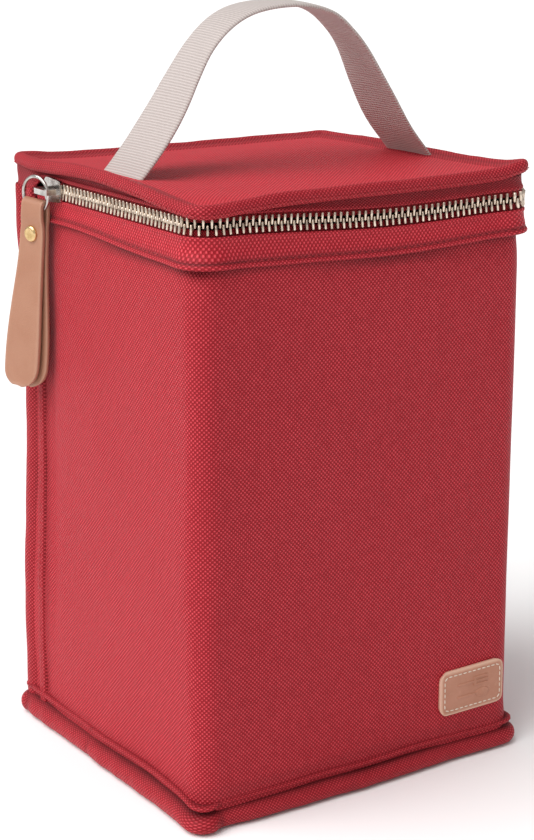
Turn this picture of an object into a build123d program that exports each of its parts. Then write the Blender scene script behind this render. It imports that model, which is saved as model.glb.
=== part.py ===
from build123d import *

import os

# Soft insulated lunch box: a tall sewn fabric bag with foam walls, a zipped lid that hinges at the
# back, a webbing handle and a folded leather zip pull on a ring.
#
# Frame: millimetres, +Z up, origin at the middle of the base where it stands. The front, with the
# leather label, faces -Y. The zip slider is parked on the left side, -X, near the back.

# ---------------------------------------------------------------- driving dimensions, millimetres
SHELL_W = 135.0  # outside of the shell fabric, side to side
SHELL_D = 125.0  # outside of the shell fabric, front to back
SHELL_T = 0.8  # coated woven polyester
FOLD_R = 4.0  # the front upright edges, which are folds in one panel

FOAM_T = 4.0
LINING_T = 0.5
BOARD_T = 2.0
LAYER_GAP = 0.2  # between neighbouring layers of the wall

BASE_SEAM_H = 10.0  # bound seam round the base
BASE_SEAM_T = 2.5
REAR_SEAM_W = 16.0  # bound upright seams at the back corners, along each face
REAR_SEAM_T = 1.0
REAR_SEAM_R = 1.6  # rounding of the back corners, before the seam's thickness

ZIP_Z = 211.2  # middle of the zip, where the lid parts from the bag
CHAIN_W = 6.8  # over both rows of teeth
TEETH_T = 2.4
TOOTH_W = 0.9
TOOTH_PITCH = 2.5
TOOTH_OVERLAP = 1.0  # how far a tooth reaches past the middle of the zip
TOOTH_GRIP = 0.1  # clearance of a tooth over the edge of its tape
TAPE_T = 0.8
TAPE_EDGE = 1.2  # from the middle of the zip to the edge of each tape
TAPE_HIDDEN = 9.0  # height of the lower tape, most of it sewn behind the band
ZIP_CORNER_R = 8.0  # the zip takes the front corners wider than the shell does
ZIP_END_GAP = 0.3  # between the ends of the tapes and the rear seams
STOP_L = 1.3
STOP_LAP = 0.8  # how far a stop reaches past the edge of its tape
TOOTH_TO_POST = 0.1  # clearance of the first tooth from the post of the slider
STOP_CLEARANCE = 0.7  # between the parked slider and the stops

BAND_T = 0.8  # facing band below the zip
BAND_TOP = 5.0  # below the middle of the zip
BAND_LOW = 14.2

RIM_T = 2.0  # bound rim of the mouth, inside the zip
RIM_W = 5.0
RIM_TOP = 5.2  # below the middle of the zip

LID_PANEL_UP = 6.4  # underside of the lid's fabric above the middle of the zip
LID_SEAM_H = 4.2  # bound seam round the lid
LID_SEAM_T = 2.5
LID_SEAM_UP = 4.8  # its lower edge above the middle of the zip
LID_PARTING = 0.4  # between the two halves of the fabric hinge
LID_FOAM_T = 4.0
LID_INSET = 3.8  # keeps the lid's foam clear of the slider's inner plate

SLIDER_TO_SEAM = 13.5  # its middle from the left rear seam, parked at the closed end
SLIDER_L = 12.5
SLIDER_NOSE_W = 8.8
SLIDER_TAIL_W = 7.6
PLATE_T = 1.1
CHANNEL_T = 3.0
POST_L = 3.5
POST_W = 2.0
LIP_W = 0.7
LIP_T = 0.8
CROWN_L = 9.0
CROWN_W = 2.0
CROWN_HOLE_L = 5.8
CROWN_HOLE_H = 4.4
CROWN_BAR_T = 1.1

RING_R = 6.4  # middle of the wire
WIRE_R = 0.6
RING_TURN = 16.0  # degrees that the ring stands off the side of the bag
RING_FROM_SLIDER = 1.5  # where it passes the crown, ahead of the slider's middle
RING_OFF_PLATE = 2.5  # wire's middle from the slider's outer plate
RING_DROP = 1.6  # ring's middle below the middle of the zip

PULL_LEN = 70.0  # below the fold
PULL_TOP_W = 10.4
PULL_NECK_W = 12.0
PULL_NECK_LEN = 13.0
PULL_END_W = 17.5
PULL_END_R_FRONT = 8.0
PULL_END_R_BACK = 5.0
PULL_TILT = 4.0  # degrees off plumb, towards the back
LEAF_T = 1.6
PULL_FOLD_DROP = 2.6  # middle of the fold below the ring's middle
PULL_SLOT_CLEARANCE = 0.15
PULL_PINCH_GAP = 0.3
RIVET_DROP = 14.2  # below the ring's middle
RIVET_HEAD_R = 3.0
RIVET_HEAD_H = 1.3
RIVET_POST_R = 1.2
RIVET_HOLE_CLEARANCE = 0.1
RIVET_FLANGE_T = 0.6

WEBBING_W = 27.0
WEBBING_T = 1.4
HANDLE_RISE = 57.6  # top of the arch above the lid
HANDLE_FOOT_INSET = 6.5  # from the side of the shell
HANDLE_KNEE_IN = 17.0  # from the foot
HANDLE_KNEE_UP = 21.6  # above the lid
HANDLE_SHOULDER_IN = 34.0  # from the foot
HANDLE_KNEE_R = 60.0
HANDLE_SHOULDER_R = 38.0
HANDLE_FOOT_GAP = 0.5
SEWN_END_L = 4.0
SEWN_END_INSET = 0.2

LABEL_W = 30.0
LABEL_H = 17.5
LABEL_T = 1.6
LABEL_R = 3.6
LABEL_FROM_EDGE = 4.2
LABEL_Z = 27.6
STITCH_INSET = 2.0
STITCH_L = 1.5
STITCH_PITCH = 2.4
STITCH_W = 0.5
STITCH_T = 0.3

# ---------------------------------------------------------------- worked out from those
HALF_W = SHELL_W / 2
HALF_D = SHELL_D / 2
FOAM_OUT = SHELL_T + LAYER_GAP  # how far in from the shell's outer face each layer lies
FOAM_IN = FOAM_OUT + FOAM_T
LINING_OUT = FOAM_IN + LAYER_GAP
LINING_IN = LINING_OUT + LINING_T
BOARD_Z = SHELL_T + LAYER_GAP
BASE_FOAM_Z = BOARD_Z + BOARD_T + LAYER_GAP
FLOOR_Z = BASE_FOAM_Z + FOAM_T + LAYER_GAP
RIM_TOP_Z = ZIP_Z - RIM_TOP
RIM_LOW_Z = RIM_TOP_Z - RIM_T
FOAM_TOP_Z = RIM_LOW_Z - LAYER_GAP
LOWER_TAPE_TOP = ZIP_Z - TAPE_EDGE
LOWER_TAPE_LOW = LOWER_TAPE_TOP - TAPE_HIDDEN
UPPER_TAPE_LOW = ZIP_Z + TAPE_EDGE
LID_PANEL_Z = ZIP_Z + LID_PANEL_UP
LID_TOP_Z = LID_PANEL_Z + SHELL_T
LID_FOAM_Z = LID_PANEL_Z - LAYER_GAP - LID_FOAM_T
LID_LINING_Z = LID_FOAM_Z - LAYER_GAP - LINING_T
REAR_SEAM_Y = HALF_D - REAR_SEAM_W  # front edge of the rear seams on the sides
TAPE_END_Y = REAR_SEAM_Y - ZIP_END_GAP
SLIDER_Y = REAR_SEAM_Y - SLIDER_TO_SEAM
TAPE_X = HALF_W - TAPE_T / 2  # middle of the tape on the sides
CHAIN_HALF = CHAIN_W / 2

# The slider's plane faces off the bag's left side, its x along the slider's travel and its y up.
SLIDER_PLANE = Plane(origin=(-TAPE_X, SLIDER_Y, ZIP_Z), x_dir=(0, -1, 0), z_dir=(-1, 0, 0))
PLATE_OUT = CHANNEL_T / 2 + PLATE_T  # outer face of the outer plate in that plane
CROWN_PLANE = Plane(
    origin=(-TAPE_X - PLATE_OUT, SLIDER_Y, ZIP_Z), x_dir=(0, -1, 0), z_dir=(0, 0, 1)
)

# The ring hangs through the crown. Its own directions are along, towards the crown, and out.
TURNED = Plane.XY.rotated((0, 0, RING_TURN))
RING_ALONG = -TURNED.y_dir
RING_OUT = -TURNED.x_dir
RING_GRIP = Vector(
    -TAPE_X - PLATE_OUT - RING_OFF_PLATE, SLIDER_Y - RING_FROM_SLIDER, ZIP_Z - RING_DROP
)
RING_MIDDLE = RING_GRIP - RING_ALONG * RING_R
PULL_ACROSS = RING_ALONG.rotate(Axis((0, 0, 0), RING_OUT), -PULL_TILT)
PULL_PLANE = Plane(origin=RING_MIDDLE, x_dir=PULL_ACROSS, z_dir=RING_OUT)
PULL_SIDE = Plane(origin=RING_MIDDLE, x_dir=RING_OUT, z_dir=PULL_ACROSS)
PULL_LOOP = WIRE_R + PULL_SLOT_CLEARANCE  # half the gap between the leaves, round the wire
PULL_CLOSED = PULL_PINCH_GAP / 2  # and half of it below
LOOP_END = RING_R + 2 * WIRE_R
PINCH_END = LOOP_END + 2 * LEAF_T
PULL_TIP = PULL_LEN + PULL_FOLD_DROP
LEAF_FACE = PULL_CLOSED + LEAF_T  # outer face of a leaf from the pull's middle plane

HANDLE_TOP = LID_TOP_Z + HANDLE_RISE
HANDLE_FOOT_X = HALF_W - HANDLE_FOOT_INSET
HANDLE_KNEE_X = HANDLE_FOOT_X - HANDLE_KNEE_IN
HANDLE_KNEE_Z = LID_TOP_Z + HANDLE_KNEE_UP
HANDLE_SHOULDER_X = HANDLE_FOOT_X - HANDLE_SHOULDER_IN

# The handle tilts about a line across both feet, and each foot is rounded about that line.
HANDLE_AXIS_Z = LID_TOP_Z + HANDLE_FOOT_GAP + WEBBING_W / 2

os.makedirs("parts", exist_ok=True)


# ---------------------------------------------------------------- shared outlines
def outline(inset, front_r, rear_r=0.0):
    """The bag's plan outline, moved in by inset. A negative inset is outside the shell."""
    with BuildSketch(mode=Mode.PRIVATE) as plan:
        Rectangle(SHELL_W - 2 * inset, SHELL_D - 2 * inset)
        fillet(plan.vertices().group_by(Axis.Y)[0], front_r - inset)
        if rear_r:
            fillet(plan.vertices().group_by(Axis.Y)[-1], rear_r - inset)
    return plan.sketch


def wall(outer, inner, front_r, window=None):
    """The plan of a wall between two insets, or the stretch of it in a (left, right, front, rear) window."""
    with BuildSketch(mode=Mode.PRIVATE) as plan:
        add(outline(outer, front_r))
        add(outline(inner, front_r), mode=Mode.SUBTRACT)
        if window:
            left, right, front, rear = window
            with Locations(((left + right) / 2, (front + rear) / 2)):
                Rectangle(right - left, rear - front, mode=Mode.INTERSECT)
    return plan.sketch


def up_to(rear):
    """The window that holds the left side, the front and the right side, as far back as rear."""
    return (-SHELL_W, SHELL_W, -SHELL_D, rear)


# ---------------------------------------------------------------- shell
# One panel wraps the left side, the front and the right side. It is sewn to the back and the base.
with BuildPart() as wrap_panel:
    with BuildSketch(Plane.XY.offset(SHELL_T)):
        add(wall(0, SHELL_T, FOLD_R, up_to(HALF_D - SHELL_T)))
    extrude(amount=LOWER_TAPE_LOW - SHELL_T)
wrap_panel.part.label = "wrap_panel"
export_step(wrap_panel.part, "parts/wrap_panel.step")

with BuildPart() as back_panel:
    with BuildSketch(Plane.XY.offset(SHELL_T)):
        with Locations((0, HALF_D - SHELL_T / 2)):
            Rectangle(SHELL_W, SHELL_T)
    extrude(amount=ZIP_Z - LID_PARTING / 2 - SHELL_T)
back_panel.part.label = "back_panel"
export_step(back_panel.part, "parts/back_panel.step")

with BuildPart() as base_panel:
    with BuildSketch():
        add(outline(0, FOLD_R))
    extrude(amount=SHELL_T)
base_panel.part.label = "base_panel"
export_step(base_panel.part, "parts/base_panel.step")

# ---------------------------------------------------------------- insulation and lining
with BuildPart() as base_board:
    with BuildSketch(Plane.XY.offset(BOARD_Z)):
        add(outline(FOAM_OUT, ZIP_CORNER_R))
    extrude(amount=BOARD_T)
base_board.part.label = "base_board"
export_step(base_board.part, "parts/base_board.step")

with BuildPart() as base_foam:
    with BuildSketch(Plane.XY.offset(BASE_FOAM_Z)):
        add(outline(FOAM_OUT, ZIP_CORNER_R))
    extrude(amount=FOAM_T)
base_foam.part.label = "base_foam"
export_step(base_foam.part, "parts/base_foam.step")

# The front pad takes both front corners; the side pads butt against it and against the back pad.
side_front = -HALF_D + ZIP_CORNER_R + LAYER_GAP
side_rear = HALF_D - FOAM_IN - LAYER_GAP
foam_windows = {
    "foam_front": (-HALF_W, HALF_W, -HALF_D, side_front - LAYER_GAP),
    "foam_left": (-HALF_W, 0, side_front, side_rear),
    "foam_right": (0, HALF_W, side_front, side_rear),
    "foam_back": (-HALF_W, HALF_W, side_rear + LAYER_GAP, HALF_D),
}
for pad_name, pad_window in foam_windows.items():
    with BuildPart() as foam_pad:
        with BuildSketch(Plane.XY.offset(FLOOR_Z)):
            add(wall(FOAM_OUT, FOAM_IN, ZIP_CORNER_R, pad_window))
        extrude(amount=FOAM_TOP_Z - FLOOR_Z)
    foam_pad.part.label = pad_name
    export_step(foam_pad.part, f"parts/{pad_name}.step")

with BuildPart() as lining:
    with BuildSketch(Plane.XY.offset(FLOOR_Z)):
        add(outline(LINING_OUT, ZIP_CORNER_R))
    extrude(amount=FOAM_TOP_Z - FLOOR_Z)
    with BuildSketch(Plane.XY.offset(FLOOR_Z + LINING_T)):
        add(outline(LINING_IN, ZIP_CORNER_R))
    extrude(amount=FOAM_TOP_Z, mode=Mode.SUBTRACT)
lining.part.label = "lining"
export_step(lining.part, "parts/lining.step")

with BuildPart() as rim_binding:
    with BuildSketch(Plane.XY.offset(RIM_LOW_Z)):
        add(wall(FOAM_OUT, FOAM_OUT + RIM_W, ZIP_CORNER_R))
    extrude(amount=RIM_T)
rim_binding.part.label = "rim_binding"
export_step(rim_binding.part, "parts/rim_binding.step")

# ---------------------------------------------------------------- bound seams and facing band
with BuildPart() as base_seam:
    with BuildSketch():
        add(outline(-BASE_SEAM_T, FOLD_R, REAR_SEAM_R))
    extrude(amount=BASE_SEAM_H)
    fillet(base_seam.faces().sort_by(Axis.Z)[-1].edges(), BASE_SEAM_T / 2)
    with BuildSketch():
        add(outline(0, FOLD_R))
    extrude(amount=BASE_SEAM_H, mode=Mode.SUBTRACT)
base_seam.part.label = "base_seam"
export_step(base_seam.part, "parts/base_seam.step")

rear_seam_windows = {
    "rear_seam_left": (-SHELL_W, -HALF_W + REAR_SEAM_W, REAR_SEAM_Y, SHELL_D),
    "rear_seam_right": (HALF_W - REAR_SEAM_W, SHELL_W, REAR_SEAM_Y, SHELL_D),
}
for seam_name, (left, right, front, rear) in rear_seam_windows.items():
    with BuildPart() as rear_seam:
        with BuildSketch(Plane.XY.offset(BASE_SEAM_H + LAYER_GAP)):
            add(outline(-REAR_SEAM_T, FOLD_R, REAR_SEAM_R))
            Rectangle(SHELL_W, SHELL_D, mode=Mode.SUBTRACT)
            with Locations(((left + right) / 2, (front + rear) / 2)):
                Rectangle(right - left, rear - front, mode=Mode.INTERSECT)
        extrude(amount=ZIP_Z - LID_PARTING - BASE_SEAM_H - LAYER_GAP)
    rear_seam.part.label = seam_name
    export_step(rear_seam.part, f"parts/{seam_name}.step")

with BuildPart() as zip_band:
    with BuildSketch(Plane.XY.offset(ZIP_Z - BAND_LOW)):
        add(wall(-BAND_T, 0, FOLD_R, up_to(TAPE_END_Y)))
    extrude(amount=BAND_LOW - BAND_TOP)
zip_band.part.label = "zip_band"
export_step(zip_band.part, "parts/zip_band.step")

# ---------------------------------------------------------------- label, low on the front's right
LABEL_FACE = Plane(
    origin=(HALF_W - LABEL_FROM_EDGE - LABEL_W / 2, -HALF_D, LABEL_Z),
    x_dir=(1, 0, 0),
    z_dir=(0, -1, 0),
)
with BuildPart() as leather_label:
    with BuildSketch(LABEL_FACE):
        RectangleRounded(LABEL_W, LABEL_H, LABEL_R)
    extrude(amount=LABEL_T)
    fillet(leather_label.faces().sort_by(Axis.Y)[0].edges(), LABEL_T / 3)
leather_label.part.label = "leather_label"
export_step(leather_label.part, "parts/leather_label.step")

stitch_x = LABEL_W / 2 - STITCH_INSET
stitch_y = LABEL_H / 2 - STITCH_INSET
across = 1 + int(2 * (stitch_x - LABEL_R / 2) / STITCH_PITCH)
upright = 1 + int(2 * (stitch_y - LABEL_R / 2) / STITCH_PITCH)
with BuildPart() as label_stitches:
    with BuildSketch(LABEL_FACE.offset(LABEL_T)):
        with GridLocations(STITCH_PITCH, 2 * stitch_y, across, 2):
            Rectangle(STITCH_L, STITCH_W)
        with GridLocations(2 * stitch_x, STITCH_PITCH, 2, upright):
            Rectangle(STITCH_W, STITCH_L)
    extrude(amount=STITCH_T)
label_stitches.part.label = "label_stitches"
export_step(label_stitches.part, "parts/label_stitches.step")

# ---------------------------------------------------------------- zip
# The teeth run from behind the parked slider, round the front, to the right rear seam.
TEETH_START_Y = SLIDER_Y + SLIDER_L / 2 - LIP_W - POST_L - TOOTH_W / 2 - TOOTH_TO_POST
with BuildLine(mode=Mode.PRIVATE) as zip_track:
    FilletPolyline(
        (-TAPE_X, TEETH_START_Y),
        (-TAPE_X, -HALF_D + TAPE_T / 2),
        (TAPE_X, -HALF_D + TAPE_T / 2),
        (TAPE_X, TAPE_END_Y - TOOTH_PITCH),
        radius=ZIP_CORNER_R - TAPE_T / 2,
    )


def tooth_places(start):
    """Where the teeth of one row stand in plan, turned to follow the zip."""
    track = zip_track.wires()[0]
    places = []
    along = start
    while along <= track.length:
        share = along / track.length
        middle = track.position_at(share)
        places.append(Location((middle.X, middle.Y, 0), (0, 0, track.tangent_angle_at(share))))
        along += TOOTH_PITCH
    return places


def tape_plan():
    """The plan of a zip tape."""
    return wall(0, TAPE_T, ZIP_CORNER_R, up_to(TAPE_END_Y))


with BuildPart() as zip_tape_lower:
    with BuildSketch(Plane.XY.offset(LOWER_TAPE_LOW)):
        add(tape_plan())
    extrude(amount=TAPE_HIDDEN)
zip_tape_lower.part.label = "zip_tape_lower"
export_step(zip_tape_lower.part, "parts/zip_tape_lower.step")

with BuildPart() as zip_tape_upper:
    with BuildSketch(Plane.XY.offset(UPPER_TAPE_LOW)):
        add(tape_plan())
    extrude(amount=LID_PANEL_Z - UPPER_TAPE_LOW)
zip_tape_upper.part.label = "zip_tape_upper"
export_step(zip_tape_upper.part, "parts/zip_tape_upper.step")

# Each row clamps the edge of its own tape. The rows are half a pitch apart along the zip.
teeth_rows = {
    "zip_teeth_lower": (0, -CHAIN_HALF, TOOTH_OVERLAP, -CHAIN_HALF, -TAPE_EDGE + TOOTH_GRIP),
    "zip_teeth_upper": (TOOTH_PITCH / 2, -TOOTH_OVERLAP, CHAIN_HALF, TAPE_EDGE - TOOTH_GRIP, CHAIN_HALF),
}
for row_name, (start, low, high, slot_low, slot_high) in teeth_rows.items():
    with BuildPart() as teeth_row:
        with BuildSketch(Plane.XY.offset(ZIP_Z + low)):
            with Locations(*tooth_places(start)):
                Rectangle(TOOTH_W, TEETH_T)
        extrude(amount=high - low)
        with BuildSketch(Plane.XY.offset(ZIP_Z + slot_low)):
            add(wall(0, TAPE_T, ZIP_CORNER_R))
        extrude(amount=slot_high - slot_low, mode=Mode.SUBTRACT)
    teeth_row.part.label = row_name
    export_step(teeth_row.part, f"parts/{row_name}.step")

# A stop is clamped over the edge of each tape, just behind the parked slider.
stop_y = SLIDER_Y + SLIDER_L / 2 + STOP_CLEARANCE + STOP_L / 2
stop_reach = TAPE_EDGE - TOOTH_GRIP - STOP_LAP
for stop_name, side in {"zip_stop_lower": -1, "zip_stop_upper": 1}.items():
    with BuildPart() as zip_stop:
        with Locations((-TAPE_X, stop_y, ZIP_Z + side * (CHAIN_HALF + stop_reach) / 2)):
            Box(TEETH_T, STOP_L, CHAIN_HALF - stop_reach)
        with Locations((-TAPE_X, stop_y, ZIP_Z + side * (CHAIN_HALF + TAPE_EDGE - TOOTH_GRIP) / 2)):
            Box(TAPE_T, STOP_L, CHAIN_HALF - TAPE_EDGE + TOOTH_GRIP, mode=Mode.SUBTRACT)
    zip_stop.part.label = stop_name
    export_step(zip_stop.part, f"parts/{stop_name}.step")

# ---------------------------------------------------------------- slider, with the crown that holds the ring
# Two plates on a post, with lips that hook behind the lower row of teeth.
with BuildPart() as zip_slider:
    for plate_low in (CHANNEL_T / 2, -CHANNEL_T / 2 - PLATE_T):
        with BuildSketch(SLIDER_PLANE.offset(plate_low)) as plate:
            with BuildLine():
                Polyline(
                    (-SLIDER_L / 2, -SLIDER_NOSE_W / 2),
                    (-SLIDER_L / 6, -SLIDER_NOSE_W / 2),
                    (SLIDER_L / 2, -SLIDER_TAIL_W / 2),
                    (SLIDER_L / 2, SLIDER_TAIL_W / 2),
                    (-SLIDER_L / 6, SLIDER_NOSE_W / 2),
                    (-SLIDER_L / 2, SLIDER_NOSE_W / 2),
                    close=True,
                )
            make_face()
            fillet(plate.vertices().group_by(Axis.X)[0], SLIDER_NOSE_W / 4)
            fillet(plate.vertices().group_by(Axis.X)[-1], SLIDER_TAIL_W / 5)
        extrude(amount=PLATE_T)
    with BuildSketch(SLIDER_PLANE.offset(-CHANNEL_T / 2)):
        with BuildLine():
            Polyline(
                (-SLIDER_L / 2 + LIP_W, -POST_W / 2),
                (-SLIDER_L / 2 + LIP_W + POST_L, 0),
                (-SLIDER_L / 2 + LIP_W, POST_W / 2),
                close=True,
            )
        make_face()
    extrude(amount=CHANNEL_T)
    for lip_low in (CHANNEL_T / 2 - LIP_T, -CHANNEL_T / 2):
        with BuildSketch(SLIDER_PLANE.offset(lip_low)):
            with Locations((0, -SLIDER_TAIL_W / 2 + LIP_W / 4)):
                Rectangle(SLIDER_L - 4 * LIP_W, LIP_W / 2)
        extrude(amount=LIP_T)
    with BuildSketch(CROWN_PLANE) as crown:
        Rectangle(CROWN_L, CROWN_HOLE_H + CROWN_BAR_T, align=(Align.CENTER, Align.MAX))
        fillet(crown.vertices().group_by(Axis.Y)[0], CROWN_BAR_T)
        Rectangle(CROWN_HOLE_L, CROWN_HOLE_H, align=(Align.CENTER, Align.MAX), mode=Mode.SUBTRACT)
    extrude(amount=CROWN_W / 2, both=True)
zip_slider.part.label = "zip_slider"
export_step(zip_slider.part, "parts/zip_slider.step")

# ---------------------------------------------------------------- ring and folded leather pull
with BuildPart() as pull_ring:
    with BuildSketch(Plane(origin=RING_GRIP, x_dir=RING_ALONG, z_dir=(0, 0, 1))):
        Circle(WIRE_R)
    revolve(axis=Axis(RING_MIDDLE, RING_OUT), revolution_arc=360)
pull_ring.part.label = "pull_ring"
export_step(pull_ring.part, "parts/pull_ring.step")


def folded_strap(loop, closed):
    """The folded strap from the side: round at the fold, and pinched together below the ring."""
    with BuildSketch(mode=Mode.PRIVATE) as side:
        with BuildLine():
            ThreePointArc((-loop, PULL_FOLD_DROP), (0, PULL_FOLD_DROP - loop), (loop, PULL_FOLD_DROP))
            Polyline((loop, PULL_FOLD_DROP), (loop, LOOP_END), (closed, PINCH_END), (closed, PULL_TIP))
            Line((closed, PULL_TIP), (-closed, PULL_TIP))
            Polyline((-closed, PULL_TIP), (-closed, PINCH_END), (-loop, LOOP_END), (-loop, PULL_FOLD_DROP))
        make_face()
    return side.sketch


with BuildPart() as leather_pull:
    with BuildSketch(PULL_SIDE):
        add(folded_strap(PULL_LOOP + LEAF_T, PULL_CLOSED + LEAF_T))
        add(folded_strap(PULL_LOOP, PULL_CLOSED), mode=Mode.SUBTRACT)
    extrude(amount=PULL_END_W, both=True)
    with BuildSketch(PULL_PLANE.offset(-PULL_END_W)) as pull_outline:
        with BuildLine():
            Polyline(
                (-PULL_TOP_W / 2, RING_R),
                (PULL_TOP_W / 2, RING_R),
                (PULL_TOP_W / 2, -PULL_FOLD_DROP),
                (PULL_NECK_W / 2, -PULL_NECK_LEN),
                (PULL_END_W / 2, -PULL_TIP + PULL_END_R_FRONT),
                (PULL_END_W / 2, -PULL_TIP),
                (-PULL_END_W / 2, -PULL_TIP),
                (-PULL_END_W / 2, -PULL_TIP + PULL_END_R_FRONT),
                (-PULL_NECK_W / 2, -PULL_NECK_LEN),
                (-PULL_TOP_W / 2, -PULL_FOLD_DROP),
                close=True,
            )
        make_face()
        fillet(pull_outline.vertices().group_by(Axis.Y)[0].sort_by(Axis.X)[-1], PULL_END_R_FRONT * 0.98)
        fillet(pull_outline.vertices().group_by(Axis.Y)[0].sort_by(Axis.X)[0], PULL_END_R_BACK)
    extrude(amount=2 * PULL_END_W, mode=Mode.INTERSECT)
    with BuildSketch(PULL_PLANE.offset(-PULL_END_W)):
        with Locations((0, -RIVET_DROP)):
            Circle(RIVET_POST_R + RIVET_HOLE_CLEARANCE)
    extrude(amount=2 * PULL_END_W, mode=Mode.SUBTRACT)
leather_pull.part.label = "leather_pull"
export_step(leather_pull.part, "parts/leather_pull.step")

with BuildPart() as rivet_cap:
    with BuildSketch(PULL_PLANE.offset(LEAF_FACE)):
        with Locations((0, -RIVET_DROP)):
            Circle(RIVET_HEAD_R)
    extrude(amount=RIVET_HEAD_H)
    fillet(rivet_cap.edges().sort_by(Axis(RING_MIDDLE, RING_OUT))[-1], RIVET_HEAD_H * 0.8)
rivet_cap.part.label = "rivet_cap"
export_step(rivet_cap.part, "parts/rivet_cap.step")

with BuildPart() as rivet_post:
    with BuildSketch(PULL_PLANE.offset(-LEAF_FACE - RIVET_FLANGE_T)):
        with Locations((0, -RIVET_DROP)):
            Circle(RIVET_HEAD_R)
    extrude(amount=RIVET_FLANGE_T)
    with BuildSketch(PULL_PLANE.offset(-LEAF_FACE)):
        with Locations((0, -RIVET_DROP)):
            Circle(RIVET_POST_R)
    extrude(amount=2 * LEAF_FACE)
rivet_post.part.label = "rivet_post"
export_step(rivet_post.part, "parts/rivet_post.step")

# ---------------------------------------------------------------- lid
with BuildPart() as lid_panel:
    with BuildSketch(Plane.XY.offset(LID_PANEL_Z)):
        add(outline(0, FOLD_R))
    extrude(amount=SHELL_T)
lid_panel.part.label = "lid_panel"
export_step(lid_panel.part, "parts/lid_panel.step")

with BuildPart() as lid_seam:
    with BuildSketch(Plane.XY.offset(ZIP_Z + LID_SEAM_UP)):
        add(outline(-LID_SEAM_T, FOLD_R, REAR_SEAM_R))
    extrude(amount=LID_SEAM_H)
    fillet(lid_seam.faces().sort_by(Axis.Z)[-1].edges(), LID_SEAM_T / 2)
    with BuildSketch(Plane.XY.offset(ZIP_Z + LID_SEAM_UP)):
        add(outline(0, FOLD_R))
    extrude(amount=LID_SEAM_H, mode=Mode.SUBTRACT)
lid_seam.part.label = "lid_seam"
export_step(lid_seam.part, "parts/lid_seam.step")

# The lid's half of the fabric hinge runs across the back and a little way along each side.
with BuildPart() as lid_rear_strip:
    with BuildSketch(Plane.XY.offset(ZIP_Z + LID_PARTING / 2)):
        add(wall(0, SHELL_T, FOLD_R, (-SHELL_W, SHELL_W, REAR_SEAM_Y, SHELL_D)))
    extrude(amount=LID_PANEL_UP - LID_PARTING / 2)
lid_rear_strip.part.label = "lid_rear_strip"
export_step(lid_rear_strip.part, "parts/lid_rear_strip.step")

with BuildPart() as lid_foam:
    with BuildSketch(Plane.XY.offset(LID_FOAM_Z)):
        add(outline(LID_INSET, ZIP_CORNER_R))
    extrude(amount=LID_FOAM_T)
lid_foam.part.label = "lid_foam"
export_step(lid_foam.part, "parts/lid_foam.step")

with BuildPart() as lid_lining:
    with BuildSketch(Plane.XY.offset(LID_LINING_Z)):
        add(outline(LID_INSET, ZIP_CORNER_R))
    extrude(amount=LINING_T)
lid_lining.part.label = "lid_lining"
export_step(lid_lining.part, "parts/lid_lining.step")

# ---------------------------------------------------------------- handle
with BuildPart() as handle_webbing:
    with BuildSketch(Plane.XZ):
        with BuildLine():
            FilletPolyline(
                (-HANDLE_FOOT_X, LID_TOP_Z),
                (-HANDLE_KNEE_X, HANDLE_KNEE_Z),
                (-HANDLE_SHOULDER_X, HANDLE_TOP - WEBBING_T / 2),
                (HANDLE_SHOULDER_X, HANDLE_TOP - WEBBING_T / 2),
                (HANDLE_KNEE_X, HANDLE_KNEE_Z),
                (HANDLE_FOOT_X, LID_TOP_Z),
                radius=[HANDLE_KNEE_R, HANDLE_SHOULDER_R, HANDLE_SHOULDER_R, HANDLE_KNEE_R],
            )
        trace(line_width=WEBBING_T)
    extrude(amount=WEBBING_W / 2, both=True)
    with BuildSketch(Plane.YZ):
        with Locations((0, HANDLE_AXIS_Z)):
            Circle(WEBBING_W / 2)
            Rectangle(WEBBING_W, HANDLE_TOP, align=(Align.CENTER, Align.MIN))
    extrude(amount=SHELL_W, both=True, mode=Mode.INTERSECT)
handle_webbing.part.label = "handle_webbing"
export_step(handle_webbing.part, "parts/handle_webbing.step")

for end_name, side in {"handle_end_left": -1, "handle_end_right": 1}.items():
    with BuildPart() as handle_end:
        with BuildSketch(Plane.XY.offset(LID_TOP_Z)):
            with Locations((side * (HALF_W - SEWN_END_INSET - SEWN_END_L / 2), 0)):
                Rectangle(SEWN_END_L, WEBBING_W)
        extrude(amount=WEBBING_T)
    handle_end.part.label = end_name
    export_step(handle_end.part, f"parts/{end_name}.step")
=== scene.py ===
"""Looks of a soft red lunch bag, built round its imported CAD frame.

Lengths are in millimetres until a mesh is closed. +Z is up, the front with the leather label faces -Y,
and the zip slider is parked on the left side, -X.
"""

import logging
import math
from dataclasses import dataclass
from enum import Enum
from typing import Callable, Sequence

import bmesh
import bpy
from mathutils import Matrix, Vector, noise
from mathutils.geometry import interpolate_bezier


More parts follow.
